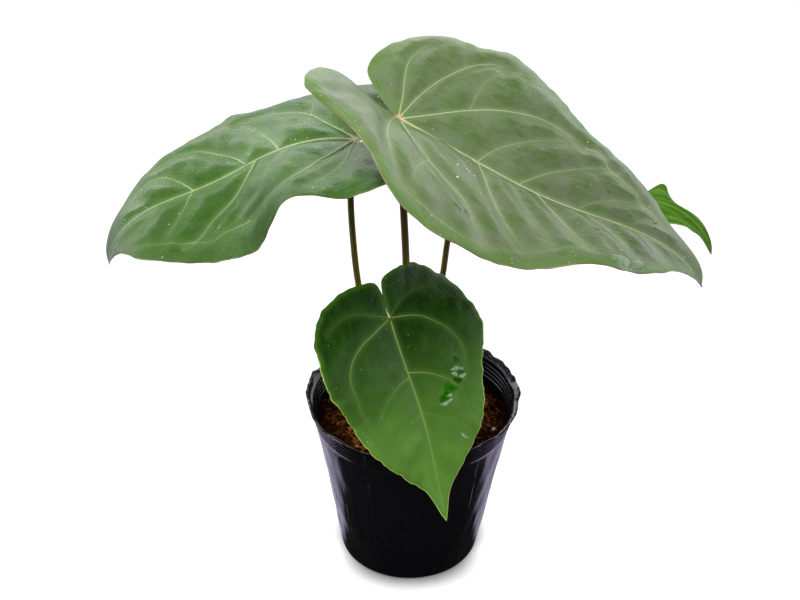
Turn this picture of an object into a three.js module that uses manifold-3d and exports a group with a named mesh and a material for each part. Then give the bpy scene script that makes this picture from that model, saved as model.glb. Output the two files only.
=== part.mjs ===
// A potted anthurium hybrid: four heart-shaped leaf blades on long petioles, which leave a short crown in
// coir, in a soft black nursery pot. Millimetres, +Z up, +X to the viewer's right, origin under the middle
// of the pot.
import * as THREE from "three";
import { mergeVertices } from "three/addons/utils/BufferGeometryUtils.js";
import Module from "manifold-3d";

const wasm = await Module();
wasm.setup();

const { clamp, degToRad } = THREE.MathUtils;
const vector = ([x, y, z]) => new THREE.Vector3(x, y, z);

// Driving dimensions
const seatGap = 0.3; // left between pieces that touch on the plant
const blade = 0.8; // thickness of a leaf blade
const potHeight = 130;
const potFoot = 50; // outer radius of the pot at its foot
const potLean = 2.5; // the soft pot stands a little askew, by this much from foot to lip
const potShoulder = 71; // outer radius under the lip
const potWall = 1.2;
const footRound = 1.5;
const lipRadius = 75;
const lipHeight = 5;
const lipScallops = [
  { count: 13, height: 0.6, turn: 1 },
  { count: 21, height: 0.45, turn: 0 },
];
const lipBulges = { count: 9, share: 0.01 }; // the soft lip swings in and out
const ringCount = 4; // fine rings moulded under the lip
const ringPitch = 3;
const ringRelief = 0.7;
const drainHoles = { count: 8, radius: 4.5, circle: 36 };
const coirLevel = 110;
const coirLumps = 2.2;
const coirEdge = { width: 12, drop: 2 }; // the coir sinks a little towards the wall
const crownPlace = [-4, 3]; // the crown stands a little off the pot's middle
const crownRadius = 10.5;
const crownFoot = 88;
const crownTop = 121;
const crownRings = { pitch: 7, depth: 0.9 }; // scars of fallen leaves

const colours = {
  pot: 0x0b0b0e,
  coir: 0x5a2f14,
  crown: 0x6b4a26,
  petiole: 0x3d3a17,
  left: 0x4b7f45,
  top: 0x6d8f5e,
  rear: 0x3f7d14,
  front: 0x33662a,
};

// Leaf blades. The outline is half a blade laid flat, from the junction with the petiole round the lobe to
// the tip, as shares of the length along and out from the midrib. heading (0 is +X, 90 is +Y) and pitch
// (below the horizontal) turn the midrib, and rise is how far each half lifts from it, in degrees, all read
// evenly from the ends of the lobes to the tip. droop is how far a half bends down between the midrib and
// its widest margin. wave is a fold of one half's margin.
const lobeEnd = -0.3; // where along the midrib's line those lists start
const droopReach = 0.42; // how far out from the midrib the droop is counted
const plainOutline = [
  [0, 0], [-0.11, 0.03], [-0.18, 0.065], [-0.21, 0.19], [-0.175, 0.325], [-0.01, 0.41], [0.16, 0.435],
  [0.385, 0.385], [0.575, 0.29], [0.745, 0.185], [0.855, 0.09], [0.965, 0.03], [1, 0],
];
const leaves = {
  left: {
    junction: [-36, 0, 329],
    length: 193,
    heading: [180, 189.5, 181],
    pitch: [-29, -7, 26, 22, 80],
    riseLeft: [8, 11, 3, 8, -16, -23, -11, -8],
    riseRight: [7, 6, -5, -7, 0, 5, 3, 24],
    droop: 10,
    outline: [
      [0, 0], [-0.11, 0.03], [-0.18, 0.065], [-0.21, 0.19], [-0.175, 0.325], [-0.01, 0.41], [0.155, 0.43],
      [0.38, 0.395], [0.57, 0.3], [0.78, 0.22], [0.88, 0.105], [0.975, 0.04], [1, 0],
    ],
  },
  top: {
    junction: [-9, 0, 344],
    length: 226,
    heading: [-45, -17, -1],
    pitch: [46, 19, 22, 18, 61],
    riseLeft: [-13, 8, 12, 13, 13, 9, 2, 18],
    riseRight: [23, 26, 22, 7, -5, 0, -8, 3],
    droop: 24,
    outline: [
      [0, 0], [-0.11, 0.03], [-0.18, 0.06], [-0.22, 0.19], [-0.17, 0.34], [0.05, 0.405], [0.175, 0.475],
      [0.385, 0.385], [0.58, 0.295], [0.74, 0.215], [0.865, 0.095], [0.975, 0.04], [1, 0],
    ],
  },
  rear: {
    junction: [41, 45, 295],
    length: 182,
    heading: [-10, -13, -15],
    pitch: [-1, 4, 14, 10, 77],
    riseLeft: [-1, -2, -3, -6, -14, -32, -24, 5],
    riseRight: [-1, -2, -3, -4, -4, 4, 7, -8],
    droop: 15,
    outline: plainOutline,
    wave: { side: 1, place: 0.71, length: 0.05, height: 0.3 },
  },
  front: {
    junction: [-15, -44, 223],
    length: 142.5,
    heading: [-50, -54, -60],
    pitch: [69, 62, 55.5, 68.5, 65],
    riseLeft: [-16, -13, 4, 5, 3, 5, 2, -2],
    riseRight: [-9, -6, 6, 6, -1, 3, 0, -2],
    droop: 14,
    outline: [
      [0, 0], [-0.13, 0.015], [-0.17, 0.065], [-0.195, 0.185], [-0.15, 0.305], [-0.025, 0.41], [0.17, 0.45],
      [0.38, 0.37], [0.565, 0.3], [0.73, 0.165], [0.835, 0.07], [0.96, 0.018], [1, 0],
    ],
  },
};

// Petioles run from a socket in the crown to the underside of their blade, where the last point is worked
// out.
const petioles = {
  left: {
    radius: 1.8,
    route: [
      [-10, 3, 108], [-14, 2, 130], [-26, 0, 172], [-35.5, 0, 218], [-39, 0, 258], [-40, 0, 290],
      [-39, 0, 313],
    ],
  },
  top: {
    radius: 2.2,
    route: [[-4, 3, 109], [-4, 2, 135], [-3.5, 0, 190], [-4, 0, 238], [-5.5, 0, 275], [-8, 0, 325]],
  },
  rear: {
    radius: 1.95,
    route: [[0.5, 8, 108], [5, 12, 130], [15, 23, 172], [21.5, 31, 208], [26, 38, 240], [36.5, 44, 276]],
  },
  front: {
    radius: 1.75,
    route: [
      [-5, -3.5, 108], [-7, -7, 130], [-12, -12, 170], [-16, -17, 205], [-17, -25, 222], [-16, -35, 225],
    ],
  },
};
const swollenTop = { reach: 16, swell: 0.35 }; // the joint under the blade
const sheathBase = { reach: 30, swell: 0.4 }; // the clasping base
const petioleSides = 5; // for each half of the section
const petioleStep = 9;

// Dry remains of old leaf bases, which clasp the crown between the petioles. They stand nearly upright and
// are rolled round the crown.
const scaleLeaves = [
  { turn: 112, length: 44, lean: 10 },
  { turn: 228, length: 36, lean: 16 },
  { turn: 335, length: 50, lean: 12 },
];
const scaleOutline = [[0, 0], [-0.02, 0.15], [0.25, 0.17], [0.6, 0.11], [0.9, 0.03], [1, 0]];
const scalePitch = [-95, -88, -70]; // to which the lean is added
const scaleRise = 62;
const scaleDroop = -110;
const scaleThickness = 1;
const scaleFoot = 4; // above the coir

// Reads a short list of evenly spaced values, from lobeEnd to the tip at 1, as one smooth curve.
function along(values, u) {
  const last = values.length - 1;
  const place = clamp((u - lobeEnd) / (1 - lobeEnd), 0, 1) * last;
  const i = Math.min(Math.floor(place), last - 1);
  const before = i > 0 ? values[i - 1] : 2 * values[0] - values[1];
  const after = i < last - 1 ? values[i + 2] : 2 * values[last] - values[last - 1];
  const [a, b, c, d] = [before, values[i], values[i + 1], after];
  const t = place - i;
  return b + ((c - a) * t + (2 * a - 5 * b + 4 * c - d) * t ** 2 + (3 * b - a - 3 * c + d) * t ** 3) / 2;
}

// Directions at a place on the midrib: along it, out to the left, and up from the blade.
function axesAt(leaf, u) {
  const heading = degToRad(along(leaf.heading, u));
  const pitch = degToRad(along(leaf.pitch, u));
  const forward = new THREE.Vector3(
    Math.cos(pitch) * Math.cos(heading),
    Math.cos(pitch) * Math.sin(heading),
    -Math.sin(pitch),
  );
  const out = new THREE.Vector3(-Math.sin(heading), Math.cos(heading), 0);
  const up = new THREE.Vector3().crossVectors(forward, out);
  return { forward, out, up };
}

// The midrib's line as evenly spaced points, walked from the end of the lobes and moved so that 0 is the
// junction.
function midribOf(leaf) {
  const steps = 52;
  const stride = (1 - lobeEnd) / steps;
  const points = [new THREE.Vector3()];
  for (let i = 0; i < steps; i += 1) {
    const here = axesAt(leaf, lobeEnd + i * stride).forward;
    const next = axesAt(leaf, lobeEnd + (i + 1) * stride).forward;
    const step = here.add(next).multiplyScalar((stride * leaf.length) / 2);
    points.push(points[i].clone().add(step));
  }
  const read = (u) => {
    const place = clamp((u - lobeEnd) / stride, 0, steps - 1e-6);
    const i = Math.floor(place);
    return points[i].clone().lerp(points[i + 1], place - i);
  };
  const move = vector(leaf.junction).sub(read(0));
  return (u) => read(u).add(move);
}

// A point of the blade's middle surface: u along the midrib, v out from it, on the left (side 1) or the
// right (side -1).
function bladePoint(leaf, midrib, u, v, side) {
  const { out, up } = axesAt(leaf, u);
  const turn = degToRad(leaf.droop) / droopReach;
  const start = degToRad(along(side > 0 ? leaf.riseLeft : leaf.riseRight, u) + leaf.droop / 2);
  const sideways = (Math.sin(start) - Math.sin(start - turn * v)) / turn;
  let lift = (Math.cos(start - turn * v) - Math.cos(start)) / turn;
  if (leaf.wave?.side === side) {
    const { place, length, height } = leaf.wave;
    lift += height * Math.exp(-(((u - place) / length) ** 2)) * (v / droopReach) ** 2;
  }
  return midrib(u)
    .addScaledVector(out, side * sideways * leaf.length)
    .addScaledVector(up, lift * leaf.length);
}

// Gives an open sheet of triangles a thickness, half to each side, and closes it round its edge.
function thicken(points, triangles, thickness) {
  const sheet = new THREE.BufferGeometry().setFromPoints(points);
  sheet.setIndex(triangles);
  sheet.computeVertexNormals();
  const normals = sheet.getAttribute("normal");
  const both = [1, -1].flatMap((face) =>
    points.map((point, i) => {
      const normal = new THREE.Vector3().fromBufferAttribute(normals, i);
      return point.clone().addScaledVector(normal, (face * thickness) / 2);
    }),
  );
  const below = points.length;
  const faces = [...triangles];
  const edges = new Map();
  for (let i = 0; i < triangles.length; i += 3) {
    const [a, b, c] = triangles.slice(i, i + 3);
    faces.push(below + a, below + c, below + b);
    [[a, b], [b, c], [c, a]].forEach(([from, to]) => edges.set(`${from} ${to}`, [from, to]));
  }
  for (const [from, to] of edges.values()) {
    if (!edges.has(`${to} ${from}`)) {
      faces.push(to, from, below + from, to, below + from, below + to);
    }
  }
  return new THREE.BufferGeometry().setFromPoints(both).setIndex(faces);
}

// One blade. Its rows start as the edge of the sinus, fan round the lobe from the junction, and then leave
// the midrib one after the other up to the tip, like the veins do.
function bladeGeometry(leaf, { rows = 26, columns = 6, thickness = blade } = {}) {
  const fanEnd = 0.15; // rows that end nearer the lobes than this start at the junction
  const blendRows = 4; // rows that still follow the bend of the sinus
  const midrib = midribOf(leaf);
  const outline = leaf.outline.map(([u, v]) => vector([u, v, 0]));
  const flat = new THREE.CatmullRomCurve3(outline, false, "centripetal");
  const corner = 2 / (leaf.outline.length - 1);
  const cornerPoint = flat.getPoint(corner);
  const points = [bladePoint(leaf, midrib, 0, 0, 1)];
  const add = (u, v, side) => points.push(bladePoint(leaf, midrib, u, v, side)) - 1;
  const triangles = [];
  const ribs = [];
  const starts = [];
  for (let row = 0; row <= rows; row += 1) {
    const end = flat.getPoint(corner + ((1 - corner) * row) / rows);
    const start = Math.max(0, (end.x - fanEnd) / (1 - fanEnd));
    ribs.push({ end, start });
    starts.push(start > 0 ? add(start, 0, 1) : 0);
  }
  for (const side of [1, -1]) {
    const grid = ribs.map(({ end, start }, row) => {
      const follow = Math.max(0, 1 - row / blendRows) ** 2;
      const line = [starts[row]];
      for (let column = 1; column <= columns; column += 1) {
        const share = column / columns;
        const bend = flat.getPoint(corner * share).addScaledVector(cornerPoint, -share);
        const u = start + (end.x - start) * share + bend.x * follow;
        const v = end.y * share + bend.y * follow;
        line.push(row === rows ? starts[rows] : add(u, v, side));
      }
      return line;
    });
    for (let row = 0; row < rows; row += 1) {
      for (let column = 0; column < columns; column += 1) {
        const [a, b] = [grid[row][column], grid[row][column + 1]];
        const [d, c] = [grid[row + 1][column], grid[row + 1][column + 1]];
        const pair = side > 0 ? [[a, d, c], [a, c, b]] : [[a, c, d], [a, b, c]];
        pair.filter((t) => new Set(t).size === 3).forEach((t) => triangles.push(...t));
      }
    }
  }
  return thicken(points, triangles, thickness);
}

// A stalk of changing radius along a route.
function stalkGeometry(route, radiusAt) {
  const path = new THREE.CatmullRomCurve3(route, false, "centripetal");
  const length = path.getLength();
  const steps = Math.round(length / petioleStep);
  const section = new THREE.Shape().absarc(0, 0, 1, 0, 2 * Math.PI);
  const geometry = new THREE.ExtrudeGeometry(section, {
    steps,
    curveSegments: petioleSides,
    bevelEnabled: false,
    extrudePath: path,
  });
  const centres = path.getSpacedPoints(steps);
  const position = geometry.getAttribute("position");
  for (let i = 0; i < position.count; i += 1) {
    const point = new THREE.Vector3().fromBufferAttribute(position, i);
    const distances = centres.map((centre) => centre.distanceToSquared(point));
    const nearest = distances.indexOf(Math.min(...distances));
    point.sub(centres[nearest]).multiplyScalar(radiusAt((nearest / steps) * length, length));
    position.setXYZ(i, ...point.add(centres[nearest]));
  }
  return geometry;
}

// The petiole of one leaf, thicker by a margin where it is used to cut its own clearance.
function petioleGeometry(name, margin = 0) {
  const leaf = leaves[name];
  const { radius, route } = petioles[name];
  const end = vector(leaf.junction).addScaledVector(axesAt(leaf, 0).up, -blade / 2 - seatGap);
  return stalkGeometry([...route.map(vector), end], (place, length) => {
    const base = sheathBase.swell * Math.max(0, 1 - place / sheathBase.reach) ** 2;
    const top = swollenTop.swell * Math.max(0, 1 - (length - place) / swollenTop.reach);
    return radius * (1 + base + Math.sqrt(top) * Math.sqrt(swollenTop.swell)) + margin;
  });
}

// Booleans
function toSolid(geometry) {
  const bare = geometry.clone();
  bare.deleteAttribute("normal");
  bare.deleteAttribute("uv");
  const merged = mergeVertices(bare, 1e-3);
  const index = merged.getIndex().array;
  const triangles = [];
  for (let i = 0; i < index.length; i += 3) {
    const [a, b, c] = index.slice(i, i + 3);
    if (a !== b && b !== c && c !== a) triangles.push(a, b, c);
  }
  return new wasm.Manifold(
    new wasm.Mesh({
      numProp: 3,
      vertProperties: new Float32Array(merged.getAttribute("position").array),
      triVerts: new Uint32Array(triangles),
    }),
  );
}

function toGeometry(solid) {
  const { vertProperties, triVerts } = solid.getMesh();
  return new THREE.BufferGeometry()
    .setAttribute("position", new THREE.BufferAttribute(vertProperties, 3))
    .setIndex(new THREE.BufferAttribute(triVerts, 1));
}

const largestOf = (solid) => solid.decompose().sort((a, b) => b.volume() - a.volume())[0];

// Outer radius of the pot's plain wall at a height.
const wallRadius = (z) => potFoot + ((potShoulder - potFoot) * z) / (potHeight - lipHeight);

// How far the pot's axis stands off the origin at a height.
const askew = (z) => potLean * (z / potHeight - 0.5);

// Turns a profile of [radius, height] pairs round the upright axis.
function turned(profile, segments) {
  const points = profile.map(([radius, height]) => new THREE.Vector2(radius, height));
  return new THREE.LatheGeometry(points, segments).rotateX(Math.PI / 2);
}

// The pot is a thin shell turned round its axis, with rings under a lip that is flared and gently scalloped.
function potGeometry() {
  const lipFoot = potHeight - lipHeight;
  const lipFlare = (lipRadius - potShoulder) / 3;
  const halfWay = potHeight / 2;
  const outer = [
    [0, 0],
    [potFoot - footRound, 0],
    [potFoot - footRound / 3, (footRound * 2) / 3],
    [wallRadius(footRound), footRound],
    [wallRadius(halfWay), halfWay],
  ];
  for (let ring = ringCount; ring > 0; ring -= 1) {
    const z = lipFoot - ring * ringPitch;
    outer.push([wallRadius(z), z], [wallRadius(z) + ringRelief, z + ringPitch / 2]);
  }
  outer.push([potShoulder, lipFoot], [potShoulder + lipFlare, lipFoot + lipHeight / 2]);
  const inner = outer
    .slice(3)
    .map(([radius, height]) => [radius - potWall, height])
    .reverse();
  const rim = [
    [lipRadius, potHeight - potWall / 2],
    [lipRadius - potWall / 4, potHeight],
    [lipRadius - potWall, potHeight - potWall / 6],
  ];
  const floor = [
    [potFoot - footRound - potWall, potWall],
    [0, potWall],
  ];
  const geometry = turned([...outer, ...rim, ...inner, ...floor], 60);
  const position = geometry.getAttribute("position");
  for (let i = 0; i < position.count; i += 1) {
    const [x, y, z] = [position.getX(i), position.getY(i), position.getZ(i)];
    const angle = Math.atan2(y, x);
    const lip = clamp((z - lipFoot) / lipHeight, 0, 1);
    const bulge = 1 + lip * lipBulges.share * Math.sin(lipBulges.count * angle);
    const scallops = lipScallops.map(({ count, height, turn }) => height * Math.sin(count * angle + turn));
    const scallop = scallops.reduce((sum, height) => sum + height, 0);
    position.setXYZ(i, x * bulge + askew(z), y * bulge, z + lip * scallop);
  }
  let pot = toSolid(geometry);
  const { count, radius, circle } = drainHoles;
  for (let i = 0; i < count; i += 1) {
    const angle = (2 * Math.PI * i) / count;
    const hole = new THREE.CylinderGeometry(radius, radius, 6 * potWall, 12).rotateX(Math.PI / 2);
    pot = pot.subtract(toSolid(hole.translate(circle * Math.cos(angle), circle * Math.sin(angle), 0)));
  }
  return toGeometry(pot);
}

// Coir fills the pot, with a lumpy top and a plain hole for the crown.
function coirGeometry() {
  const inside = (z) => wallRadius(z) - potWall - seatGap;
  const bottom = potWall + seatGap;
  const footRise = 5; // the block narrows below this, clear of the pot's rounded foot
  const middle = coirLevel / 2;
  const profile = [
    [0, bottom],
    [inside(0) - footRise / 2, bottom],
    [inside(footRise), footRise],
    [inside(middle), middle],
  ];
  const ringsOnTop = 9;
  for (let ring = ringsOnTop; ring >= 0; ring -= 1) {
    profile.push([(inside(coirLevel - coirEdge.drop) * ring) / ringsOnTop, coirLevel]);
  }
  const geometry = turned(profile, 40);
  const position = geometry.getAttribute("position");
  for (let i = 0; i < position.count; i += 1) {
    const [x, y, z] = [position.getX(i), position.getY(i), position.getZ(i)];
    const top = z > coirLevel - 1 ? 1 : 0;
    const edge = clamp((inside(coirLevel) - Math.hypot(x, y)) / coirEdge.width, 0, 1);
    const lump = Math.sin(x / 6 + 1) * Math.cos(y / 7) + 0.6 * Math.sin(x / 3.1 - y / 4.3);
    position.setXYZ(i, x + askew(z), y, z + top * (coirLumps * edge * lump - coirEdge.drop * (1 - edge)));
  }
  const [x, y] = crownPlace;
  const radius = crownRadius + seatGap;
  const depth = 2 * (coirLevel - crownFoot + seatGap);
  const hole = new THREE.CylinderGeometry(radius, radius, depth, 18).rotateX(Math.PI / 2);
  return toGeometry(toSolid(geometry).subtract(toSolid(hole.translate(x, y, coirLevel))));
}

// The crown is a short ringed stem with sockets for the petioles and the dry scale leaves that clasp it.
function crownGeometry() {
  const [x, y] = crownPlace;
  const footTaper = 3;
  const profile = [
    [0, crownFoot],
    [crownRadius - footTaper, crownFoot],
    [crownRadius, crownFoot + footTaper],
  ];
  for (let z = crownFoot + 9; z < crownTop - 5; z += crownRings.pitch) {
    profile.push([crownRadius, z], [crownRadius - crownRings.depth, z + crownRings.depth]);
  }
  profile.push([crownRadius - 1.5, crownTop - 3], [crownRadius / 2, crownTop], [0, crownTop + 0.5]);
  let solid = toSolid(turned(profile, 18).translate(x, y, 0));
  for (const { turn, length, lean } of scaleLeaves) {
    const angle = degToRad(turn);
    const scale = {
      junction: [
        x + (crownRadius - 1) * Math.cos(angle),
        y + (crownRadius - 1) * Math.sin(angle),
        coirLevel + scaleFoot,
      ],
      length,
      heading: [turn, turn],
      pitch: scalePitch.map((pitch) => pitch + lean),
      riseLeft: [scaleRise, scaleRise],
      riseRight: [scaleRise, scaleRise],
      droop: scaleDroop,
      outline: scaleOutline,
    };
    solid = solid.add(toSolid(bladeGeometry(scale, { rows: 8, columns: 3, thickness: scaleThickness })));
  }
  for (const name of Object.keys(petioles)) {
    solid = solid.subtract(toSolid(petioleGeometry(name, seatGap)));
  }
  return toGeometry(largestOf(solid));
}

// Ends a petiole a seat's gap below the blade that it carries.
function fittedPetiole(name) {
  const room = bladeGeometry(leaves[name], { thickness: blade + 2 * seatGap });
  return toGeometry(largestOf(toSolid(petioleGeometry(name)).subtract(toSolid(room))));
}

function addMesh(name, geometry, color, roughness) {
  const mesh = new THREE.Mesh(geometry, new THREE.MeshStandardMaterial({ color, roughness, metalness: 0 }));
  mesh.name = name;
  plant.add(mesh);
}

const plant = new THREE.Group();
addMesh("pot", potGeometry(), colours.pot, 0.3);
addMesh("coir", coirGeometry(), colours.coir, 0.95);
addMesh("crown", crownGeometry(), colours.crown, 0.85);
for (const [name, leaf] of Object.entries(leaves)) {
  addMesh(`petiole_${name}`, fittedPetiole(name), colours.petiole, 0.55);
  addMesh(`blade_${name}`, bladeGeometry(leaf), colours[name], 0.45);
}

export default plant;
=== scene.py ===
# A potted anthurium hybrid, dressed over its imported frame: leaf blades with their veins, stalks, the crown
# in its dry sheaths, coir, and a soft black nursery pot. Metres, +Z up, +X to the camera's right.
import math

import bpy
import numpy as np
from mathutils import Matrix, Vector, noise


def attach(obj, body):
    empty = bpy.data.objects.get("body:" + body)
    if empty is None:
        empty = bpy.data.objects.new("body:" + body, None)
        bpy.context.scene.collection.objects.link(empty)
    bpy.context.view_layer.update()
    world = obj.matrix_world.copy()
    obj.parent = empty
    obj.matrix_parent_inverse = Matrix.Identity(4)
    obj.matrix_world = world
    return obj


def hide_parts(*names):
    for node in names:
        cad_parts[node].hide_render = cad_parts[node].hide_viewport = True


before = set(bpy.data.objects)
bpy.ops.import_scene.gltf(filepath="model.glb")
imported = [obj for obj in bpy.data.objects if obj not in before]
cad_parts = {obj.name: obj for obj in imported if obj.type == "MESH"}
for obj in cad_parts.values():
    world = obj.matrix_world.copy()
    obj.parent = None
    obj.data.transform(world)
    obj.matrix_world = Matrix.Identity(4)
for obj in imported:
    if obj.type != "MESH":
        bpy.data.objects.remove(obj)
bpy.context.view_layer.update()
mm = 0.001
print("frame loaded with", len(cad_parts), "nodes")


# Camera, at the height and distance that the pot's two ellipses give
cameraView = {
    "place": (-0.008, -0.9014, 0.8046),
    "target": (-0.008, 0, 0.208),
    "lens": 72,
}


# Lenses and lights look along their own -Z
def aim(thing, target):
    ahead = Vector(target) - thing.location
    thing.rotation_euler = ahead.to_track_quat("-Z", "Y").to_euler()
    bpy.context.scene.collection.objects.link(thing)


def makeCamera():
    data = bpy.data.cameras.new("camera")
    data.lens = cameraView["lens"]
    camera = bpy.data.objects.new("camera", data)
    camera.location = cameraView["place"]
    aim(camera, cameraView["target"])
    bpy.context.scene.camera = camera


makeCamera()


# Materials and the world as expressions on node sockets
class Value:
    def __init__(self, nodes, socket):
        self.nodes = nodes
        self.socket = socket

    def math(self, operation, first, second=0.0):
        return self.nodes.make("ShaderNodeMath", {"operation": operation}, {0: first, 1: second})

    def __add__(self, other):
        return self.math("ADD", self, other)

    def __sub__(self, other):
        return self.math("SUBTRACT", self, other)

    def __rsub__(self, other):
        return self.math("SUBTRACT", other, self)

    def __mul__(self, other):
        return self.math("MULTIPLY", self, other)

    def __truediv__(self, other):
        return self.math("DIVIDE", self, other)

    def __pow__(self, other):
        return self.math("POWER", self, other)

    def above(self, edge):
        return self.math("GREATER_THAN", self, edge)

    def smaller(self, other):
        return self.math("MINIMUM", self, other)

    def larger(self, other):
        return self.math("MAXIMUM", self, other)

    __radd__ = __add__
    __rmul__ = __mul__


class Nodes:
    def __init__(self, data):
        data.use_nodes = True
        self.data = data
        self.tree = data.node_tree
        self.tree.nodes.clear()

    # One node: its settings first, then what goes into its sockets. A ramp's stops are one of its settings.
    def make(self, kind, settings=None, sockets=None, out=0):
        node = self.tree.nodes.new(kind)
        for key, value in (settings or {}).items():
            if key == "stops":
                ramp = node.color_ramp
                while len(ramp.elements) < len(value):
                    ramp.elements.new(0.5)
                for element, (place, colour) in zip(ramp.elements, value):
                    element.position = place
                    element.color = (*colour, 1)
            else:
                setattr(node, key, value)
        for key, value in (sockets or {}).items():
            if isinstance(value, Value):
                self.tree.links.new(value.socket, node.inputs[key])
            elif isinstance(value, tuple) and len(value) == 3 and node.inputs[key].type == "RGBA":
                node.inputs[key].default_value = (*value, 1)
            else:
                node.inputs[key].default_value = value
        return Value(self, node.outputs[out])

    def read(self, name, out="Fac"):
        return self.make("ShaderNodeAttribute", {"attribute_name": name}, out=out)

    def place(self):
        return self.make("ShaderNodeTexCoord", out="Object")

    # A vector's part along one axis
    def axis(self, vector, name):
        return self.make("ShaderNodeSeparateXYZ", None, {0: vector}, name)

    def joined(self, x, y, z):
        return self.make("ShaderNodeCombineXYZ", None, {"X": x, "Y": y, "Z": z})

    def vector(self, operation, first, second=(0.0, 0.0, 0.0), out="Vector"):
        return self.make("ShaderNodeVectorMath", {"operation": operation}, {0: first, 1: second}, out)

    def stretch(self, vector, scale):
        return self.vector("MULTIPLY", vector, scale)

    def cloud(self, vector, scale, detail=3.0, roughness=0.5, twist=0.0, out="Fac"):
        sockets = {"Vector": vector, "Scale": scale, "Detail": detail, "Roughness": roughness}
        return self.make("ShaderNodeTexNoise", None, {**sockets, "Distortion": twist}, out)

    def cells(self, vector, scale, feature="F1", out="Distance"):
        sockets = {"Vector": vector, "Scale": scale}
        return self.make("ShaderNodeTexVoronoi", {"feature": feature}, sockets, out)

    # From 0 to 1 as the value goes from low to high
    def span(self, value, low, high):
        sockets = {"Value": value, "From Min": low, "From Max": high}
        return self.make("ShaderNodeMapRange", {"interpolation_type": "SMOOTHSTEP"}, sockets)

    def mix(self, factor, first, second, kind="MIX"):
        settings = {"data_type": "RGBA", "blend_type": kind}
        return self.make("ShaderNodeMix", settings, {0: factor, 6: first, 7: second}, 2)

    def ramp(self, value, stops):
        return self.make("ShaderNodeValToRGB", {"stops": stops}, {"Fac": value}, "Color")

    def bump(self, height, strength, distance):
        sockets = {"Height": height, "Strength": strength, "Distance": distance}
        return self.make("ShaderNodeBump", None, sockets, "Normal")

    def plastic(self, **sockets):
        named = {key.replace("_", " "): value for key, value in sockets.items()}
        return self.make("ShaderNodeBsdfPrincipled", None, named, "BSDF")

    def mixShaders(self, factor, first, second):
        return self.make("ShaderNodeMixShader", None, {0: factor, 1: first, 2: second})

    def output(self, shader, kind="ShaderNodeOutputMaterial"):
        node = self.tree.nodes.new(kind)
        self.tree.links.new(shader.socket, node.inputs["Surface"])
        return self.data

    def finish(self, colour, rough, normal, **more):
        return self.output(self.plastic(Base_Color=colour, Roughness=rough, Normal=normal, **more))


def newMaterial(name):
    return Nodes(bpy.data.materials.new(name))


# A colour as it is picked on a screen, from 0 to 255
def tone(*parts):
    return tuple(((c / 255 + 0.055) / 1.055) ** 2.4 if c > 10 else c / 255 / 12.92 for c in parts)


# Meshes from arrays of points and lists of faces
def makePiece(name, points, faces, materials, attributes=None, faceMaterials=None):
    mesh = bpy.data.meshes.new(name)
    mesh.from_pydata(np.asarray(points).tolist(), [], faces)
    for key, values in (attributes or {}).items():
        values = np.asarray(values, np.float32)
        kind, field = ("FLOAT_VECTOR", "vector") if values.ndim == 2 else ("FLOAT", "value")
        mesh.attributes.new(key, kind, "POINT").data.foreach_set(field, values.ravel())
    for material in materials:
        mesh.materials.append(material)
    if faceMaterials is not None:
        mesh.polygons.foreach_set("material_index", faceMaterials)
    mesh.polygons.foreach_set("use_smooth", [True] * len(mesh.polygons))
    mesh.update()
    piece = bpy.data.objects.new(name, mesh)
    bpy.context.scene.collection.objects.link(piece)
    return piece


def mount(piece, node):
    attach(piece, "root")
    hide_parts(node)


# Joins parts, each with its points, its faces and its values at each point
def gather(parts):
    faces = []
    total = 0
    for points, some, _ in parts:
        faces += [tuple(total + i for i in face) for face in some]
        total += len(points)
    values = {key: np.concatenate([part[2][key] for part in parts]) for key in parts[0][2]}
    return np.concatenate([part[0] for part in parts]), faces, values


# One piece of several parts, each with its kind of surface
def joinParts(name, parts, materials, node):
    points, faces, values = gather([part for _, part in parts])
    used = list(dict.fromkeys(kind for kind, _ in parts))
    kinds = [used.index(kind) for kind, part in parts for _ in part[1]]
    mount(makePiece(name, points, faces, [materials[kind] for kind in used], values, kinds), node)


# Quads between rows of points. A closed row is a ring.
def gridFaces(rows, count, closed=True):
    faces = []
    for i in range(rows - 1):
        for k in range(count if closed else count - 1):
            a, b = i * count + k, i * count + (k + 1) % count
            faces.append((a, b, b + count, a + count))
    return faces


# A sheet's upper and lower face, each half the thickness from its middle
def twoFaces(middle, normal, half, faces):
    count = len(middle)
    points = np.concatenate([middle + normal * half, middle - normal * half])
    return points, faces + [tuple(count + i for i in reversed(face)) for face in faces]


def unit(vectors):
    return vectors / np.maximum(np.linalg.norm(vectors, axis=-1, keepdims=True), 1e-12)


def runAlong(line):
    return np.concatenate([[0], np.cumsum(np.linalg.norm(np.diff(line, axis=0), axis=1))])


def turnAngles(count):
    return np.arange(count) / count * 2 * math.pi


def towards(heading, pitch):
    return np.stack([np.cos(pitch) * np.cos(heading), np.cos(pitch) * np.sin(heading), np.sin(pitch)], -1)


def noiseAt(*parts):
    return np.array([noise.noise(Vector(point)) for point in zip(*parts)])


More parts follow.
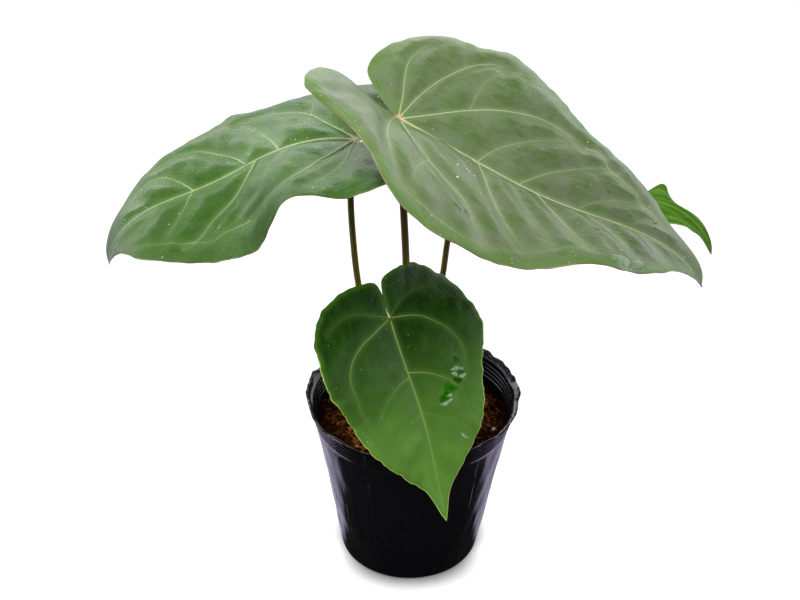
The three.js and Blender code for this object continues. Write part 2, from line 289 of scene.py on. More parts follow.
# Leaf blades: the same outline, midrib, rise and droop as the solids, in shares of the length and degrees
lobeEnd = -0.3
droopReach = 0.42
waist = 0.3  # the margin's waves and bulges turn about this place on the midrib
plainOutline = [
    (0, 0), (-0.11, 0.03), (-0.18, 0.065), (-0.21, 0.19), (-0.175, 0.325), (-0.01, 0.41), (0.16, 0.435),
    (0.385, 0.385), (0.575, 0.29), (0.745, 0.185), (0.855, 0.09), (0.965, 0.03), (1, 0),
]
leaves = {
    "left": {
        "junction": (-36, 0, 329),
        "length": 193,
        "heading": [180, 189.5, 181],
        "pitch": [-29, -7, 26, 22, 80],
        "riseLeft": [8, 11, 3, 8, -16, -23, -11, -8],
        "riseRight": [7, 6, -5, -7, 0, 5, 3, 24],
        "droop": 10,
        "outline": [
            (0, 0), (-0.11, 0.03), (-0.18, 0.065), (-0.21, 0.19), (-0.175, 0.325), (-0.01, 0.41),
            (0.155, 0.43), (0.38, 0.395), (0.57, 0.3), (0.78, 0.22), (0.88, 0.105), (0.975, 0.04), (1, 0),
        ],
    },
    "top": {
        "junction": (-9, 0, 344),
        "length": 226,
        "heading": [-45, -17, -1],
        "pitch": [46, 19, 22, 18, 61],
        "riseLeft": [-13, 8, 12, 13, 13, 9, 2, 18],
        "riseRight": [23, 26, 22, 7, -5, 0, -8, 3],
        "droop": 24,
        "outline": [
            (0, 0), (-0.11, 0.03), (-0.18, 0.06), (-0.22, 0.19), (-0.17, 0.34), (0.05, 0.405), (0.175, 0.475),
            (0.385, 0.385), (0.58, 0.295), (0.74, 0.215), (0.865, 0.095), (0.975, 0.04), (1, 0),
        ],
    },
    "rear": {
        "junction": (41, 45, 295),
        "length": 182,
        "heading": [-10, -13, -15],
        "pitch": [-1, 4, 14, 10, 77],
        "riseLeft": [-1, -2, -3, -6, -14, -32, -24, 5],
        "riseRight": [-1, -2, -3, -4, -4, 4, 7, -8],
        "droop": 15,
        "outline": plainOutline,
        "wave": {"side": 1, "place": 0.71, "length": 0.05, "height": 0.3},
    },
    "front": {
        "junction": (-15, -44, 223),
        "length": 142.5,
        "heading": [-50, -54, -60],
        "pitch": [69, 62, 55.5, 68.5, 65],
        "riseLeft": [-16, -13, 4, 5, 3, 5, 2, -2],
        "riseRight": [-9, -6, 6, 6, -1, 3, 0, -2],
        "droop": 14,
        "outline": [
            (0, 0), (-0.125, 0.002), (-0.179, 0.027), (-0.195, 0.185), (-0.15, 0.305), (-0.025, 0.41),
            (0.17, 0.45), (0.38, 0.37), (0.565, 0.3), (0.73, 0.165), (0.835, 0.07), (0.96, 0.018), (1, 0),
        ],
    },
}

# Veins in percent of the length: along the midrib and out from it. Each has its strength, and the midrib is
# the strongest.
midribPath = [(0, 0), (35, 0), (70, 0), (98.5, 0)]
plainVeins = [
    (0.8, [(0, 0), (-5, 8), (-11, 18), (-15, 25)]),
    (0.8, [(0, 0), (1, 11), (3, 21), (8, 31), (15, 37)]),
    (1.0, [(0, 0), (12, 13), (24, 22), (42, 26), (60, 21), (76, 12), (90, 5)]),
    (0.7, [(22, 0), (31, 12), (42, 21), (50, 24)]),
    (0.7, [(36, 0), (45, 10), (55, 17), (62, 20)]),
    (0.6, [(50, 0), (59, 8), (68, 13), (74, 13)]),
    (0.5, [(64, 0), (71, 6), (79, 9)]),
]
leafVeins = {
    "top": {
        "left": [
            (0.7, [(0, 0), (-4, 7), (-11, 16), (-12.5, 19), (-13, 22), (-13, 26)]),
            (0.35, [(-11.2, 16.2), (-15.5, 15.3), (-18, 16), (-19, 20)]),
            (0.3, [(-15.5, 15.3), (-17.2, 9), (-15, 5)]),
            (0.8, [(0, 0), (0, 11), (1.5, 20), (5.3, 30.2), (9.8, 35.2), (13.1, 37.2), (17.1, 36.2)]),
            (0.35, [(17.1, 36.2), (22, 38.2), (28, 38.4), (38.6, 37.5), (47, 31)]),
            (1.0, [(0, 0), (7, 7), (15, 14.5), (24, 21), (35, 25.5), (43, 25.9), (53, 23.6)]),
            (0.6, [(53, 23.6), (58.7, 22.6), (62.7, 17.8), (70.4, 14.1), (72.7, 11.1), (80, 7)]),
            (0.4, [(15, 15), (14, 27), (17.1, 36.2)]),
            (0.5, [(25, 0), (29, 8), (38, 17), (48, 23), (53, 24)]),
            (0.5, [(38, 0), (44, 7), (53, 14), (60, 18), (63, 19)]),
            (0.4, [(55.5, 0), (60, 4), (69, 9), (74, 11)]),
            (0.3, [(70, 0), (75, 4.5), (80, 7)]),
        ],
        "right": [
            (0.5, [(0, 0), (-3, 10), (-8, 19), (-10, 28)]),
            (0.8, [(0, 0), (2, 12), (5, 23), (9, 32), (16, 41)]),
            (0.9, [(0, 0), (5, 10), (10, 17), (17, 22.5), (27, 25.5), (37, 34)]),
            (0.5, [(17, 22.5), (16.5, 32), (18, 41)]),
            (0.75, [(25.5, 0), (33, 15), (39, 22), (47, 29)]),
            (0.7, [(43.5, 0), (51, 9), (57, 17), (61, 21)]),
            (0.35, [(34.5, 0), (40, 9), (48, 18), (52, 24)]),
            (0.5, [(57, 0), (60, 4), (68, 11), (71, 15)]),
            (0.35, [(71, 0), (77, 5), (82, 8)]),
            (0.4, [(20, 42.5), (30, 39.5), (38, 34.5), (47, 29), (58, 22.5), (64, 19)]),
        ],
    },
    "left": {
        "left": [
            (0.7, [(0, 0), (-5, 8), (-10, 16), (-15, 25)]),
            (0.8, [(0, 0), (2, 7), (5, 18), (9, 25), (14, 32), (18, 38)]),
            (0.9, [(0, 0), (6, 9), (13, 17.5), (20, 27.5), (26.6, 31.6), (33, 28.5), (41, 25.6)]),
            (0.5, [(41, 25.6), (45, 24.9), (50.7, 23.6), (54.4, 24), (59.4, 21.4), (64, 20)]),
            (0.8, [(33.5, 0), (36, 4.5), (40, 8.5), (45, 12), (53, 15.5), (60, 21), (64, 21.5)]),
            (0.4, [(20, 0), (24.3, 5.5), (30, 14.3), (34.1, 20.4), (40, 20), (44.4, 21.4)]),
            (0.5, [(57.5, 0), (61.2, 6.3), (65.4, 11.6), (70.4, 17.3)]),
            (0.35, [(70, 0), (75, 6), (80, 10)]),
            (0.45, [(60, 20.8), (64, 20), (70.4, 18.1), (78.5, 16.5), (86, 9)]),
        ],
        "right": [
            (0.7, [(0, 0), (-5, 9), (-10, 17), (-15, 25)]),
            (0.9, [(0, 0), (8, 11), (15, 24.5), (24.8, 32), (30, 33.5), (36, 31.7)]),
            (0.5, [(36, 31.7), (41, 30.7), (48.6, 29.9), (56, 27.5), (62, 26)]),
            (0.5, [(13, 22), (11.5, 28), (10, 36)]),
            (0.75, [(25.5, 0), (28.5, 11.5), (33.6, 22.9), (38, 30)]),
            (0.8, [(37.5, 0), (41.4, 8), (46.9, 15.1), (53.7, 21.4), (62, 22.4), (69.4, 20)]),
            (0.65, [(57, 0), (62.2, 8), (68.9, 14), (75, 14.3), (80, 11)]),
            (0.4, [(73, 0), (78, 6), (83, 9)]),
        ],
    },
    "rear": {"left": plainVeins, "right": plainVeins},
    "front": {
        "left": [
            (0.4, [(0, 0), (-6, 9), (-7, 19), (-5, 30)]),
            (0.8, [(0, 0), (2, 9), (4.5, 15.5), (9, 21), (16, 27), (25, 30.5), (37, 28)]),
            (0.8, [(26.5, 0), (30, 9), (34, 15), (39, 20.5), (42, 22)]),
            (0.4, [(37, 28), (42, 23.5), (48, 23), (61, 20.5)]),
            (0.4, [(45.5, 0), (49, 5), (52.5, 11), (56, 16), (61, 20)]),
            (0.35, [(55, 0), (57.5, 5), (61, 13), (65, 17)]),
            (0.3, [(68, 0), (71, 4), (76, 7)]),
        ],
        "right": [
            (0.4, [(0, 0), (-5, 10), (-8, 18), (-7, 28), (-4, 34)]),
            (0.8, [(0, 0), (3, 10), (6, 20), (11, 28), (18, 32), (28, 31.5), (36, 30), (44, 27)]),
            (0.6, [(29, 0), (30.5, 8), (35, 16), (40, 21), (44, 26)]),
            (0.35, [(46, 0), (50, 10), (54, 18), (56, 23)]),
            (0.3, [(60, 0), (64, 7), (68, 11)]),
            (0.3, [(44, 26.5), (54, 23), (64, 17), (74, 10)]),
        ],
    },
}

# What a user would change on the blades, in millimetres, and the colours, in this order of leaves. A bulge of
# the margin is its place in degrees from the tip, positive on the left half, its reach in degrees and how far
# it stands out.
leafOrder = ("top", "left", "rear", "front")
bladeTable = {
    "slot": ("leaf_grey_green", "leaf_mid_green", "leaf_bright_green", "leaf_dark_green"),
    "half": (0.35, 0.35, 0.35, 0.35),
    "pillow": (3.3, 3.3, 2.4, 1.5),
    "pillowReach": (6.5, 7.5, 6, 8),
    "ripple": (0.5, 0.35, 0.5, 0.6),
    "bulges": (
        [(12, 10, -2.4), (76, 9, 3.2), (102, 6, -3.6), (118, 6, 4.6), (130, 4, 1.8), (-174, 3, 4.5),
         (-58, 6, 1)],
        [(98, 14, 2.6), (49, 5, 1.4), (-105, 9, 4.5), (-77, 5, 5), (-24, 14, -1.8)],
        [(7, 4, 2.5), (20, 5, -5)],
        [(99, 6, 1), (120, 4, -2), (132, 3, 1.8)],
    ),
    "veinWidth": (0.68, 0.62, 0.45, 0.5),
    "crest": (1.8, 0.6, 0.2, 0.2),
    "ribCrest": (0.5, 0.9, 0.2, 0.2),
    "seed": (1.7, 4.1, 7.3, 2.9),
    "deep": (tone(78, 105, 50), tone(36, 82, 10), tone(34, 84, 2), tone(14, 44, 0)),
    "pale": (tone(108, 132, 84), tone(76, 119, 40), tone(94, 138, 40), tone(42, 84, 14)),
    # Colour towards the tip. On the front leaf, this colour and its dark deep tone are painted light and
    # shade: its lobes are shaded by the leaves above and its tip is lit.
    "towardTip": (tone(72, 90, 54), tone(60, 100, 30), tone(62, 112, 12), tone(132, 192, 78)),
    "dull": (tone(120, 126, 106), tone(84, 108, 62), tone(52, 92, 8), tone(60, 96, 50)),
    "bloom": (0.55, 0.25, 0.3, 0.15),
    "edgeZone": (tone(96, 138, 52), tone(80, 116, 54), tone(84, 134, 34), tone(88, 142, 38)),
    "edgeZoneReach": (12, 6, 3, 4.5),
    "edgeLine": (tone(138, 98, 76), tone(112, 88, 62), tone(140, 164, 84), tone(212, 230, 128)),
    "edgeLineWidth": (0.95, 0.95, 0.8, 0.85),
    "edgeLineFrom": (0.0, 0.0, 0.0, 0.12),
    "vein": (tone(180, 192, 146), tone(182, 201, 150), tone(134, 172, 84), tone(150, 190, 98)),
    # The left leaf's heart is lighter than its real colour: painted light that lifts it out of the top leaf's
    # shadow
    "heart": (tone(236, 180, 146), tone(255, 222, 166), tone(200, 170, 110), tone(120, 74, 24)),
    "heartReach": (5, 7, 4, 2.6),
    "under": (tone(112, 138, 88), tone(108, 140, 84), tone(110, 152, 80), tone(100, 134, 74)),
    "gloss": (0.37, 0.4, 0.002, 0.2),
    "gleam": ((0.96, 1.0, 0.98), (0.84, 1.0, 0.78), (0.86, 1.0, 0.78), (0.86, 1.0, 0.78)),
    "roughness": (0.34, 0.25, 0.3, 0.36),
    "quilt": (2.2, 1.6, 1.2, 1.4),
    "silk": (0.5, 2.0, 1.4, 1.2),
    "rungs": (1.3, 0.5, 0.5, 1.0),
    "halo": (0.2, 0.16, 0.35, 0.2),
    "specks": (0.45, 0.95, 0.2, 0.38),
    "dried": (tone(222, 228, 208),) * 4,
}
bladeShared = {
    "veinFloor": 0.8,
    "marginReach": 22,
    "junctionReach": 36,
    "rippleReach": 8,
    "glowReach": 2.2,
    "edgeTaper": 1.5,
    "seatLift": 0.3,
    "veinStep": 1.5,
}
bladeLooks = {name: {key: row[k] for key, row in bladeTable.items()} for k, name in enumerate(leafOrder)}

# Water that has been left on the blades: a drop is its place in percent of the length, with the left half
# positive, and its radius across and along, in millimetres. The small pale drops are tinted with a painted
# glint. Films are flat: some darken the leaf, the grey film on the top leaf is painted sheen and the palest
# films on the front leaf are painted reflection.
waterDrops = {
    "top": [
        (27.6, -32.2, 1.0, 2.2), (30.1, -29.9, 1.5, 1.7), (39.4, -5, 1.6, 0.9), (41.9, -2.8, 1.5, 0.8),
        (61.4, -12.2, 0.8, 2.2), (63.2, -11.8, 0.7, 1.4), (78, 6, 0.9, 1.8), (78, 3.5, 0.9, 0.9),
        (31.1, 17.1, 0.6, 0.6), (38.6, 14.3, 0.6, 0.5),
    ],
    "left": [(44, -22, 0.7, 0.6), (52, 12, 0.6, 0.8)],
    "rear": [(80, -6, 0.9, 0.8)],
    "front": [(30, 26.2, 0.8, 1.0), (50, -6, 0.7, 0.7), (20, -16, 0.6, 0.6)],
}
# Small drops whose pale colour is a painted glint
beads = {
    "top": [
        (22.3, -15.1, 0.8, 0.6), (23.6, -8.5, 0.5, 0.5), (24.6, -8.5, 0.6, 0.5), (26.1, -6.8, 0.5, 0.4),
        (24.6, -13.6, 0.5, 0.5), (25.4, -14.1, 0.6, 0.5), (24.1, -20.6, 0.9, 0.7),
        (27.1, -14.3, 0.8, 0.7), (66.9, -16.3, 0.6, 0.5), (67.9, -17.8, 0.6, 0.5), (93, -0.4, 1.5, 0.8),
        (94.5, -0.3, 0.6, 1.6), (75.2, 10.1, 0.5, 0.4), (76, 11.8, 0.6, 0.5), (53.2, 26.1, 0.6, 0.5),
        (40.1, 14.3, 0.4, 0.4),
    ],
}
wetFilms = {
    "top": [
        # painted sheen: the grey film over this patch
        ("wet", [(65.2, -21.9), (66.2, -23.6), (67.9, -24.5), (69.7, -24.2), (71.9, -22.6),
                 (74.2, -20.1), (74.9, -17.6), (73.4, -16.8), (71.2, -20.1), (69.9, -19.6), (67.9, -20.1)]),
        ("pool", [(70.4, -22.2), (70.9, -20.4), (72.4, -18), (74.2, -17), (74.8, -18), (73.9, -20.1),
                  (71.9, -21.9)]),
    ],
    "front": [
        ("water", [(37.4, 16.1), (37.6, 17.8), (39.4, 19.1), (41.9, 21.9), (42.6, 17.6), (42.9, 14.1),
                   (44.4, 15.1), (44.9, 13.3), (44.9, 10.1), (42.9, 9.5), (40.9, 13.8), (38.4, 14.1)]),
        # the palest films here are painted reflection
        ("milky", [(45.4, 9.3), (45.4, 11.8), (44.9, 16.3), (45.4, 16.6), (47.1, 12.3), (46.1, 9.8)]),
        ("milky", [(43.1, 13.6), (42.7, 16.8), (44.4, 16.6)]),
        ("damp", [(29.9, 22.1), (27.6, 23.1), (27.4, 25.1), (28.6, 25.9), (30.4, 25.4), (31.4, 23.9)]),
        ("milky", [(32.9, 20.1), (31.9, 23.1), (32.9, 24.9), (34.1, 23.4), (33.4, 21.1)]),
        ("milky", [(34.1, 19.6), (34.4, 22.6), (36.1, 22.9), (36.9, 22.1)]),
        ("milky", [(33.4, 24.4), (33.4, 25.6), (34.4, 27.1), (34.9, 26.9), (34.1, 24.6)]),
        ("water", [(34.3, 23.9), (35.1, 26.7), (36.4, 26.4), (35.4, 23.4)]),
        ("milky", [(36.6, 23.1), (36.9, 27.1), (37.6, 27.4), (38.4, 25.1), (37.6, 23.4)]),
        ("damp", [(36, 20.4), (38.9, 25.1), (40.6, 22.4), (37.9, 19.6)]),
        ("damp", [(23.1, 25.9), (22.8, 27.6), (24.3, 27.6), (24.3, 26.1)]),
        ("damp", [(24.6, 25.4), (25.1, 26.9), (25.9, 26.4), (25.4, 25.1)]),
        ("milky", [(60.8, 15.8), (62.2, 16), (63.8, 16.8), (64.9, 18.2), (64.6, 20.6), (64, 19),
                   (63, 17.7), (61.8, 17)]),
    ],
}
waterLooks = {
    kind: {"dark": tone(*dark), "light": tone(*light), "rise": rise, "roughness": roughness, "gloss": gloss}
    for kind, dark, light, rise, roughness, gloss in (
        ("water", (24, 96, 0), (52, 132, 6), 0.15, 0.2, 0.08),
        ("damp", (30, 78, 4), (52, 104, 18), 0.08, 0.4, 0.08),
        # pale film: painted reflection
        ("milky", (128, 160, 124), (180, 206, 178), 0.3, 0.3, 0.3),
        # grey film: painted sheen
        ("wet", (98, 122, 88), (126, 148, 122), 0.12, 0.15, 0.4),
        ("pool", (92, 120, 80), (104, 130, 92), 0.6, 0.1, 0.4),
        # small drop: pale colour is a painted glint
        ("bead", (172, 190, 128), (206, 216, 168), 0.5, 0.2, 0.5),
    )
}


# Reads a short list of evenly spaced values, from lobeEnd to the tip at 1, as one smooth curve
def along(values, u):
    values = np.asarray(values, float)
    last = len(values) - 1
    place = np.clip((u - lobeEnd) / (1 - lobeEnd), 0, 1) * last
    i = np.minimum(place.astype(int), last - 1)
    t = place - i
    ends = [2 * values[0] - values[1]], [2 * values[-1] - values[-2]]
    padded = np.concatenate([ends[0], values, ends[1]])
    a, b, c, d = (padded[i + k] for k in range(4))
    return b + ((c - a) * t + (2 * a - 5 * b + 4 * c - d) * t**2 + (3 * b - a - 3 * c + d) * t**3) / 2


# A smooth line through points, read at shares of it from 0 to 1
def through(points, t):
    points = np.array(points, float)
    padded = np.vstack([2 * points[0] - points[1], points, 2 * points[-1] - points[-2]])
    place = np.clip(np.atleast_1d(t), 0, 1) * (len(points) - 1)
    i = np.minimum(place.astype(int), len(points) - 2)
    w = (place - i)[:, None]
    a, b, c, d = (padded[i + k] for k in range(4))
    first, middle, last = (
        np.maximum(np.sum((q - p) ** 2, axis=1, keepdims=True) ** 0.25, 1e-4)
        for p, q in ((a, b), (b, c), (c, d))
    )
    leave = ((b - a) / first - (c - a) / (first + middle)) * middle + (c - b)
    arrive = ((d - c) / last - (d - b) / (middle + last)) * middle + (c - b)
    return b + leave * w + (3 * (c - b) - 2 * leave - arrive) * w**2 + (2 * (b - c) + leave + arrive) * w**3


def sideOf(v):
    return np.where(v < 0, -1.0, 1.0)


# The middle surface of one blade, in metres, as a function of u and of v, which is positive on the left half
class Blade:
    def __init__(self, leaf, veins=None, looks=None):
        self.leaf = leaf
        self.looks = looks
        self.length = leaf["length"] * mm
        self.places = np.linspace(lobeEnd, 1, 521)
        forward, _, _ = self.axes(self.places)
        stride = (self.places[1] - self.places[0]) * self.length
        line = np.zeros_like(forward)
        line[1:] = np.cumsum((forward[1:] + forward[:-1]) * stride / 2, axis=0)
        zero = [np.interp(0, self.places, line[:, k]) for k in range(3)]
        self.line = line - zero + np.array(leaf["junction"]) * mm
        self.corner = 2 / (len(leaf["outline"]) - 1)
        self.edges = {side: self.edgeLine(np.linspace(0, 1, 420), side) for side in (1, -1)}
        if veins:
            self.veins = [(1.3, [(u / 100, 0) for u, _ in midribPath])]
            for side, half in ((1, veins["left"]), (-1, veins["right"])):
                for strength, path in half:
                    self.veins.append((strength, [(u / 100, v * side / 100) for u, v in path]))
            self.veinLines = [through(path, np.linspace(0, 1, 10 * len(path))) for _, path in self.veins]
            self.veins += self.faintVeins()

    # Fine side veins lie between each two main ones that leave the midrib on the same half
    def faintVeins(self):
        faint = []
        for side in (1, -1):
            ribs = [path for _, path in self.veins[1:] if path[0][1] == 0 and path[0][0] > 0.1]
            ribs = sorted((path for path in ribs if path[-1][1] * side > 0), key=lambda path: path[0][0])
            for first, second in zip(ribs, ribs[1:]):
                shares = np.linspace(0, 1, 7)
                one, other = through(first, shares), through(second, shares)
                for part, strength in ((0.34, 0.13), (0.67, 0.16)):
                    sway = np.stack([0.006 * np.sin(shares * 9 + part * 20), 0 * shares], -1)
                    path = one * (1 - part) + other * part + sway
                    path[0, 1] = 0
                    faint.append((strength, [tuple(point) for point in path * (1, 0.96)]))
        return faint

    # The outline of one half, with the small unevenness of its margin. It starts between the two lobes.
    def edgeLine(self, t, side):
        line = through(self.leaf["outline"], t)
        if self.looks:
            away = line - (waist, 0)
            fade = np.clip((np.atleast_1d(t) - self.corner) * 12, 0, 1) * np.clip((1 - t) * 14, 0, 1)
            wobble = self.ripple(line[:, 0], line[:, 1] * side, 23) * self.looks["ripple"]
            turn = np.degrees(np.arctan2(line[:, 1] * side, away[:, 0]))
            for place, reach, amount in self.looks["bulges"]:
                wobble = wobble + amount * np.exp(-(((turn - place) / reach) ** 2))
            line = line + unit(away) * (wobble * fade * mm / self.length)[:, None]
        return line

    def ripple(self, u, v, turns):
        angle = np.arctan2(v, u - waist)
        seed = self.looks["seed"]
        waves = 0.5 * np.sin(turns * angle + seed) + 0.4 * np.sin(turns * 1.62 * angle + seed * 3)
        return waves + 0.3 * np.sin(turns * 2.7 * angle + seed * 7)

    def axes(self, u):
        heading = np.radians(along(self.leaf["heading"], u))
        forward = towards(heading, -np.radians(along(self.leaf["pitch"], u)))
        out = np.stack([-np.sin(heading), np.cos(heading), 0 * heading], -1)
        return forward, out, np.cross(forward, out)

    def plain(self, u, v, side=None):
        _, out, up = self.axes(u)
        width = np.abs(v)
        side = sideOf(v) if side is None else side
        turn = math.radians(self.leaf["droop"]) / droopReach
        rise = np.where(side > 0, along(self.leaf["riseLeft"], u), along(self.leaf["riseRight"], u))
        start = np.radians(rise + self.leaf["droop"] / 2)
        sideways = (np.sin(start) - np.sin(start - turn * width)) / turn
        lift = (np.cos(start - turn * width) - np.cos(start)) / turn
        wave = self.leaf.get("wave")
        if wave:
            swell = wave["height"] * np.exp(-(((u - wave["place"]) / wave["length"]) ** 2))
            lift = lift + (side == wave["side"]) * swell * (width / droopReach) ** 2
        middle = np.stack([np.interp(u, self.places, self.line[:, k]) for k in range(3)], -1)
        return middle + self.length * ((side * sideways)[..., None] * out + lift[..., None] * up)

    # Which way is up from the blade. The two halves meet in one normal at the midrib.
    def normals(self, u, v):
        step = 0.004
        width = np.abs(v)

        def oneSide(side):
            ahead = self.plain(u + step, width, side) - self.plain(u - step, width, side)
            across = self.plain(u, width + step, side) - self.plain(u, np.maximum(width - step, 0), side)
            return unit(np.cross(ahead, across * side[..., None]))

        side = sideOf(v)
        share = np.clip(1 - width / 0.012, 0, 1)[..., None] * 0.5
        return unit(oneSide(side) * (1 - share) + oneSide(-side) * share)

    # Distance from flat points to the nearest of some lines, in metres
    def distance(self, u, v, lines):
        flat = np.stack([u, v], -1) * self.length
        best = np.full(len(flat), 1.0)
        for line in lines:
            start = line[:-1] * self.length
            run = line[1:] * self.length - start
            offset = flat[:, None, :] - start[None]
            share = np.clip(np.sum(offset * run, -1) / np.maximum(np.sum(run * run, -1), 1e-14), 0, 1)
            best = np.minimum(best, np.linalg.norm(offset - share[..., None] * run, axis=-1).min(1))
        return best

    def nearEdge(self, u, v):
        result = np.zeros(len(u))
        for side, half in ((1, v >= 0), (-1, v < 0)):
            result[half] = self.distance(u[half], np.abs(v[half]), [self.edges[side]])
        return result

    # The blade swells between its veins, but not at its margin, which ripples. Strong veins are sunk the
    # deepest, and those that don't start from the midrib the least.
    def relief(self, u, v, edge):
        looks, shared = self.looks, bladeShared
        groove = np.zeros(len(u))
        for (strength, path), line in zip(self.veins, self.veinLines):
            depth = min(1, 0.25 + 0.95 * strength) * (1 if path[0][1] == 0 else 0.5)
            far = np.maximum(self.distance(u, v, [line]) / mm - shared["veinFloor"], 0) / looks["pillowReach"]
            groove = np.maximum(groove, depth * np.exp(-(far**2)))
        swell = 1 - groove
        sway = 0.16 * np.sin(u * 61 + v * 23) * np.sin(v * 47 - u * 15 + 1)
        inside = np.clip(edge / mm / shared["marginReach"], 0, 1)
        fromJunction = np.hypot(u, v) * self.length / mm
        ends = np.clip((1 - u) * 6, 0, 1) * np.clip(fromJunction / shared["junctionReach"], 0, 1)
        swell = swell * (1 + sway) * inside * (2 - inside) * ends * looks["pillow"]
        waves = self.ripple(u, v, 17) * np.exp(-edge / mm / shared["rippleReach"])
        return (swell + looks["ripple"] * waves) * mm

    # How close a strong vein is, from 0 to its strength
    def glow(self, u, v):
        result = np.zeros(len(u))
        for (strength, _), line in zip(self.veins, self.veinLines):
            far = self.distance(u, v, [line]) / mm / bladeShared["glowReach"]
            result = np.maximum(result, strength * np.exp(-(far**2)))
        return result

    def surface(self, u, v, edge=None):
        lift = self.relief(u, v, self.nearEdge(u, v) if edge is None else edge)
        return self.plain(u, v) + self.normals(u, v) * lift[:, None]


def facesNormals(points, faces):
    total = np.zeros_like(points)
    quads = np.array([f if len(f) == 4 else (*f, f[2]) for f in faces])
    cross = np.cross(points[quads[:, 2]] - points[quads[:, 0]], points[quads[:, 3]] - points[quads[:, 1]])
    triangles = quads[:, 2] == quads[:, 3]
    corner = points[quads[triangles, 0]]
    sides = points[quads[triangles, 1]] - corner, points[quads[triangles, 2]] - corner
    cross[triangles] = np.cross(*sides)
    for k in range(4):
        np.add.at(total, quads[:, k], cross)
    return unit(total)


# Rows of one blade run from the midrib to the edge, as in the solids, but close together
def bladeSheet(blade, rows=190, columns=44):
    corner = blade.corner
    outline = blade.leaf["outline"]
    shares = np.concatenate([[0, 0.0009, 0.002, 0.004, 0.0065, 0.01], np.linspace(0.014, 1, rows)])
    steps = np.concatenate([np.linspace(0, 0.965, columns), [0.977, 0.986, 0.993, 1]])
    follow = np.maximum(0, 1 - shares * 6.5) ** 2
    outer = corner + (1 - corner) * shares
    starts = np.maximum(0, (through(outline, outer)[:, 0] - 0.15) / 0.85)
    bend = through(outline, corner * steps) - steps[:, None] * through(outline, corner)[0]
    grids = {}
    for side in (1, -1):
        ends = blade.edgeLine(outer, side)
        u = starts[:, None] + (ends[:, :1] - starts[:, None]) * steps + bend[:, 0] * follow[:, None]
        v = ends[:, 1:] * steps + bend[:, 1] * follow[:, None]
        v[:, 0] = 0
        grids[side] = u, v
    lastRow, lastStep = len(shares) - 1, len(steps) - 1
    flat = []
    index = {}

    def vertex(row, column, side):
        if row == lastRow:
            column = 0
        if column == 0:
            side = 1
            if starts[row] == 0:
                row = 0
        key = (row, column, side)
        if key not in index:
            index[key] = len(flat)
            u, v = grids[side]
            flat.append((u[row, column], v[row, column] * side))
        return index[key]

    faces = []
    for side in (1, -1):
        for row in range(lastRow):
            for column in range(lastStep):
                ring = [(row, column), (row + 1, column), (row + 1, column + 1), (row, column + 1)]
                ring = list(dict.fromkeys(vertex(*place, side) for place in ring[::side]))
                if len(ring) > 2:
                    faces.append(tuple(ring))
    flat = np.array(flat)
    return flat[:, 0], flat[:, 1], faces


# What a blade's material reads at each point
def leafValues(blade, u, v, **known):
    values = {"edge": 0.02, "near": 0.0, "vein": 0.0, "glow": 0.0, "under": 0.0, **known}
    values = {key: value + 0 * u for key, value in values.items()}
    values["flat"] = np.stack([u, v, 0 * u], -1) * blade.length
    return values


# A raised vein that lies on one face of the blade, palest along its middle
def veinStrip(blade, path, strength, width, face, crest):
    length = runAlong(through(path, np.linspace(0, 1, 12 * len(path))))[-1] * blade.length
    shares = np.linspace(0, 1, max(6, int(length / (bladeShared["veinStep"] * mm))))
    u, v = through(path, shares).T
    middle = blade.surface(u, v)
    up = blade.normals(u, v) * face
    across = unit(np.cross(up, unit(np.gradient(middle, axis=0))))
    half = width * mm * (1 - 0.6 * shares + 0.2 * np.exp(-shares * 12)) * (0.5 + 0.5 * strength)
    rise = half * (0.6 * strength if face > 0 else 1.2) + 0.03 * mm
    rise = rise + crest * mm * np.clip(1.2 - shares * 2.8, 0, 1)
    profile = (0.15, 0.8, 1, 1, 0.8, 0.15)
    points = []
    for angle in np.linspace(0, math.pi, len(profile)):
        height = math.sin(angle) * rise + bladeShared["seatLift"] * mm
        points.append(middle + across * (math.cos(angle) * half)[:, None] + up * height[:, None])
    points = np.stack(points, 1).reshape(-1, 3)
    paleness = strength * (1 - 0.5 * shares) * np.clip((1 - shares) * 8, 0, 1)
    u, v = np.repeat(u, len(profile)), np.repeat(v, len(profile))
    values = leafValues(blade, u, v, vein=np.outer(paleness, profile).ravel(), under=float(face < 0))
    return points, gridFaces(len(shares), len(profile), closed=False), values


# A drop or a film of water: a dome over a ring of flat points, in rows from its middle
def waterDome(blade, ring, rise):
    centre = ring.mean(0)
    shares = np.array([0, 0.25, 0.5, 0.7, 0.85, 0.94, 0.985, 1])
    u, v = (centre + (ring - centre) * shares[:, None, None]).reshape(-1, 2).T
    height = np.repeat(np.sqrt(np.maximum(0, 1 - shares**4)), len(ring)) * rise + bladeShared["seatLift"]
    points = blade.surface(u, v) + blade.normals(u, v) * height[:, None] * mm
    faces = [(a, d, c, b) for a, b, c, d in gridFaces(len(shares), len(ring))]
    return points, faces, leafValues(blade, u, v)


def waterOn(name, blade):
    random = np.random.default_rng(11)
    drops = [("drop", *drop) for drop in waterDrops.get(name, [])]
    # the small pale drops, whose colour is a painted glint
    drops += [("bead", *drop) for drop in beads.get(name, [])]
    domes = []
    for kind, u, v, across, lengthwise in drops:
        angles = turnAngles(22)
        bumps = random.uniform(0, 6, 3)
        size = 1 + 0.12 * np.sin(2 * angles + bumps[0]) + 0.1 * np.sin(3 * angles + bumps[1])
        size = size + 0.06 * np.sin(5 * angles + bumps[2])
        ring = np.stack([np.cos(angles) * lengthwise, np.sin(angles) * across], -1) * size[:, None] * mm
        rise = min(0.9, 0.55 * min(across, lengthwise))
        domes.append((kind, waterDome(blade, ring / blade.length + (u / 100, v / 100), rise)))
    for kind, corners in wetFilms.get(name, []):
        closed = corners + corners[:1]
        shares = np.linspace(0, 1, 73)[:-1]
        straight = [np.interp(shares * len(corners), range(len(closed)), row) for row in zip(*closed)]
        ring = through(closed, shares) * 0.4 + 0.6 * np.stack(straight, -1)
        domes.append((kind, waterDome(blade, ring / 100, waterLooks[kind]["rise"])))
    return domes


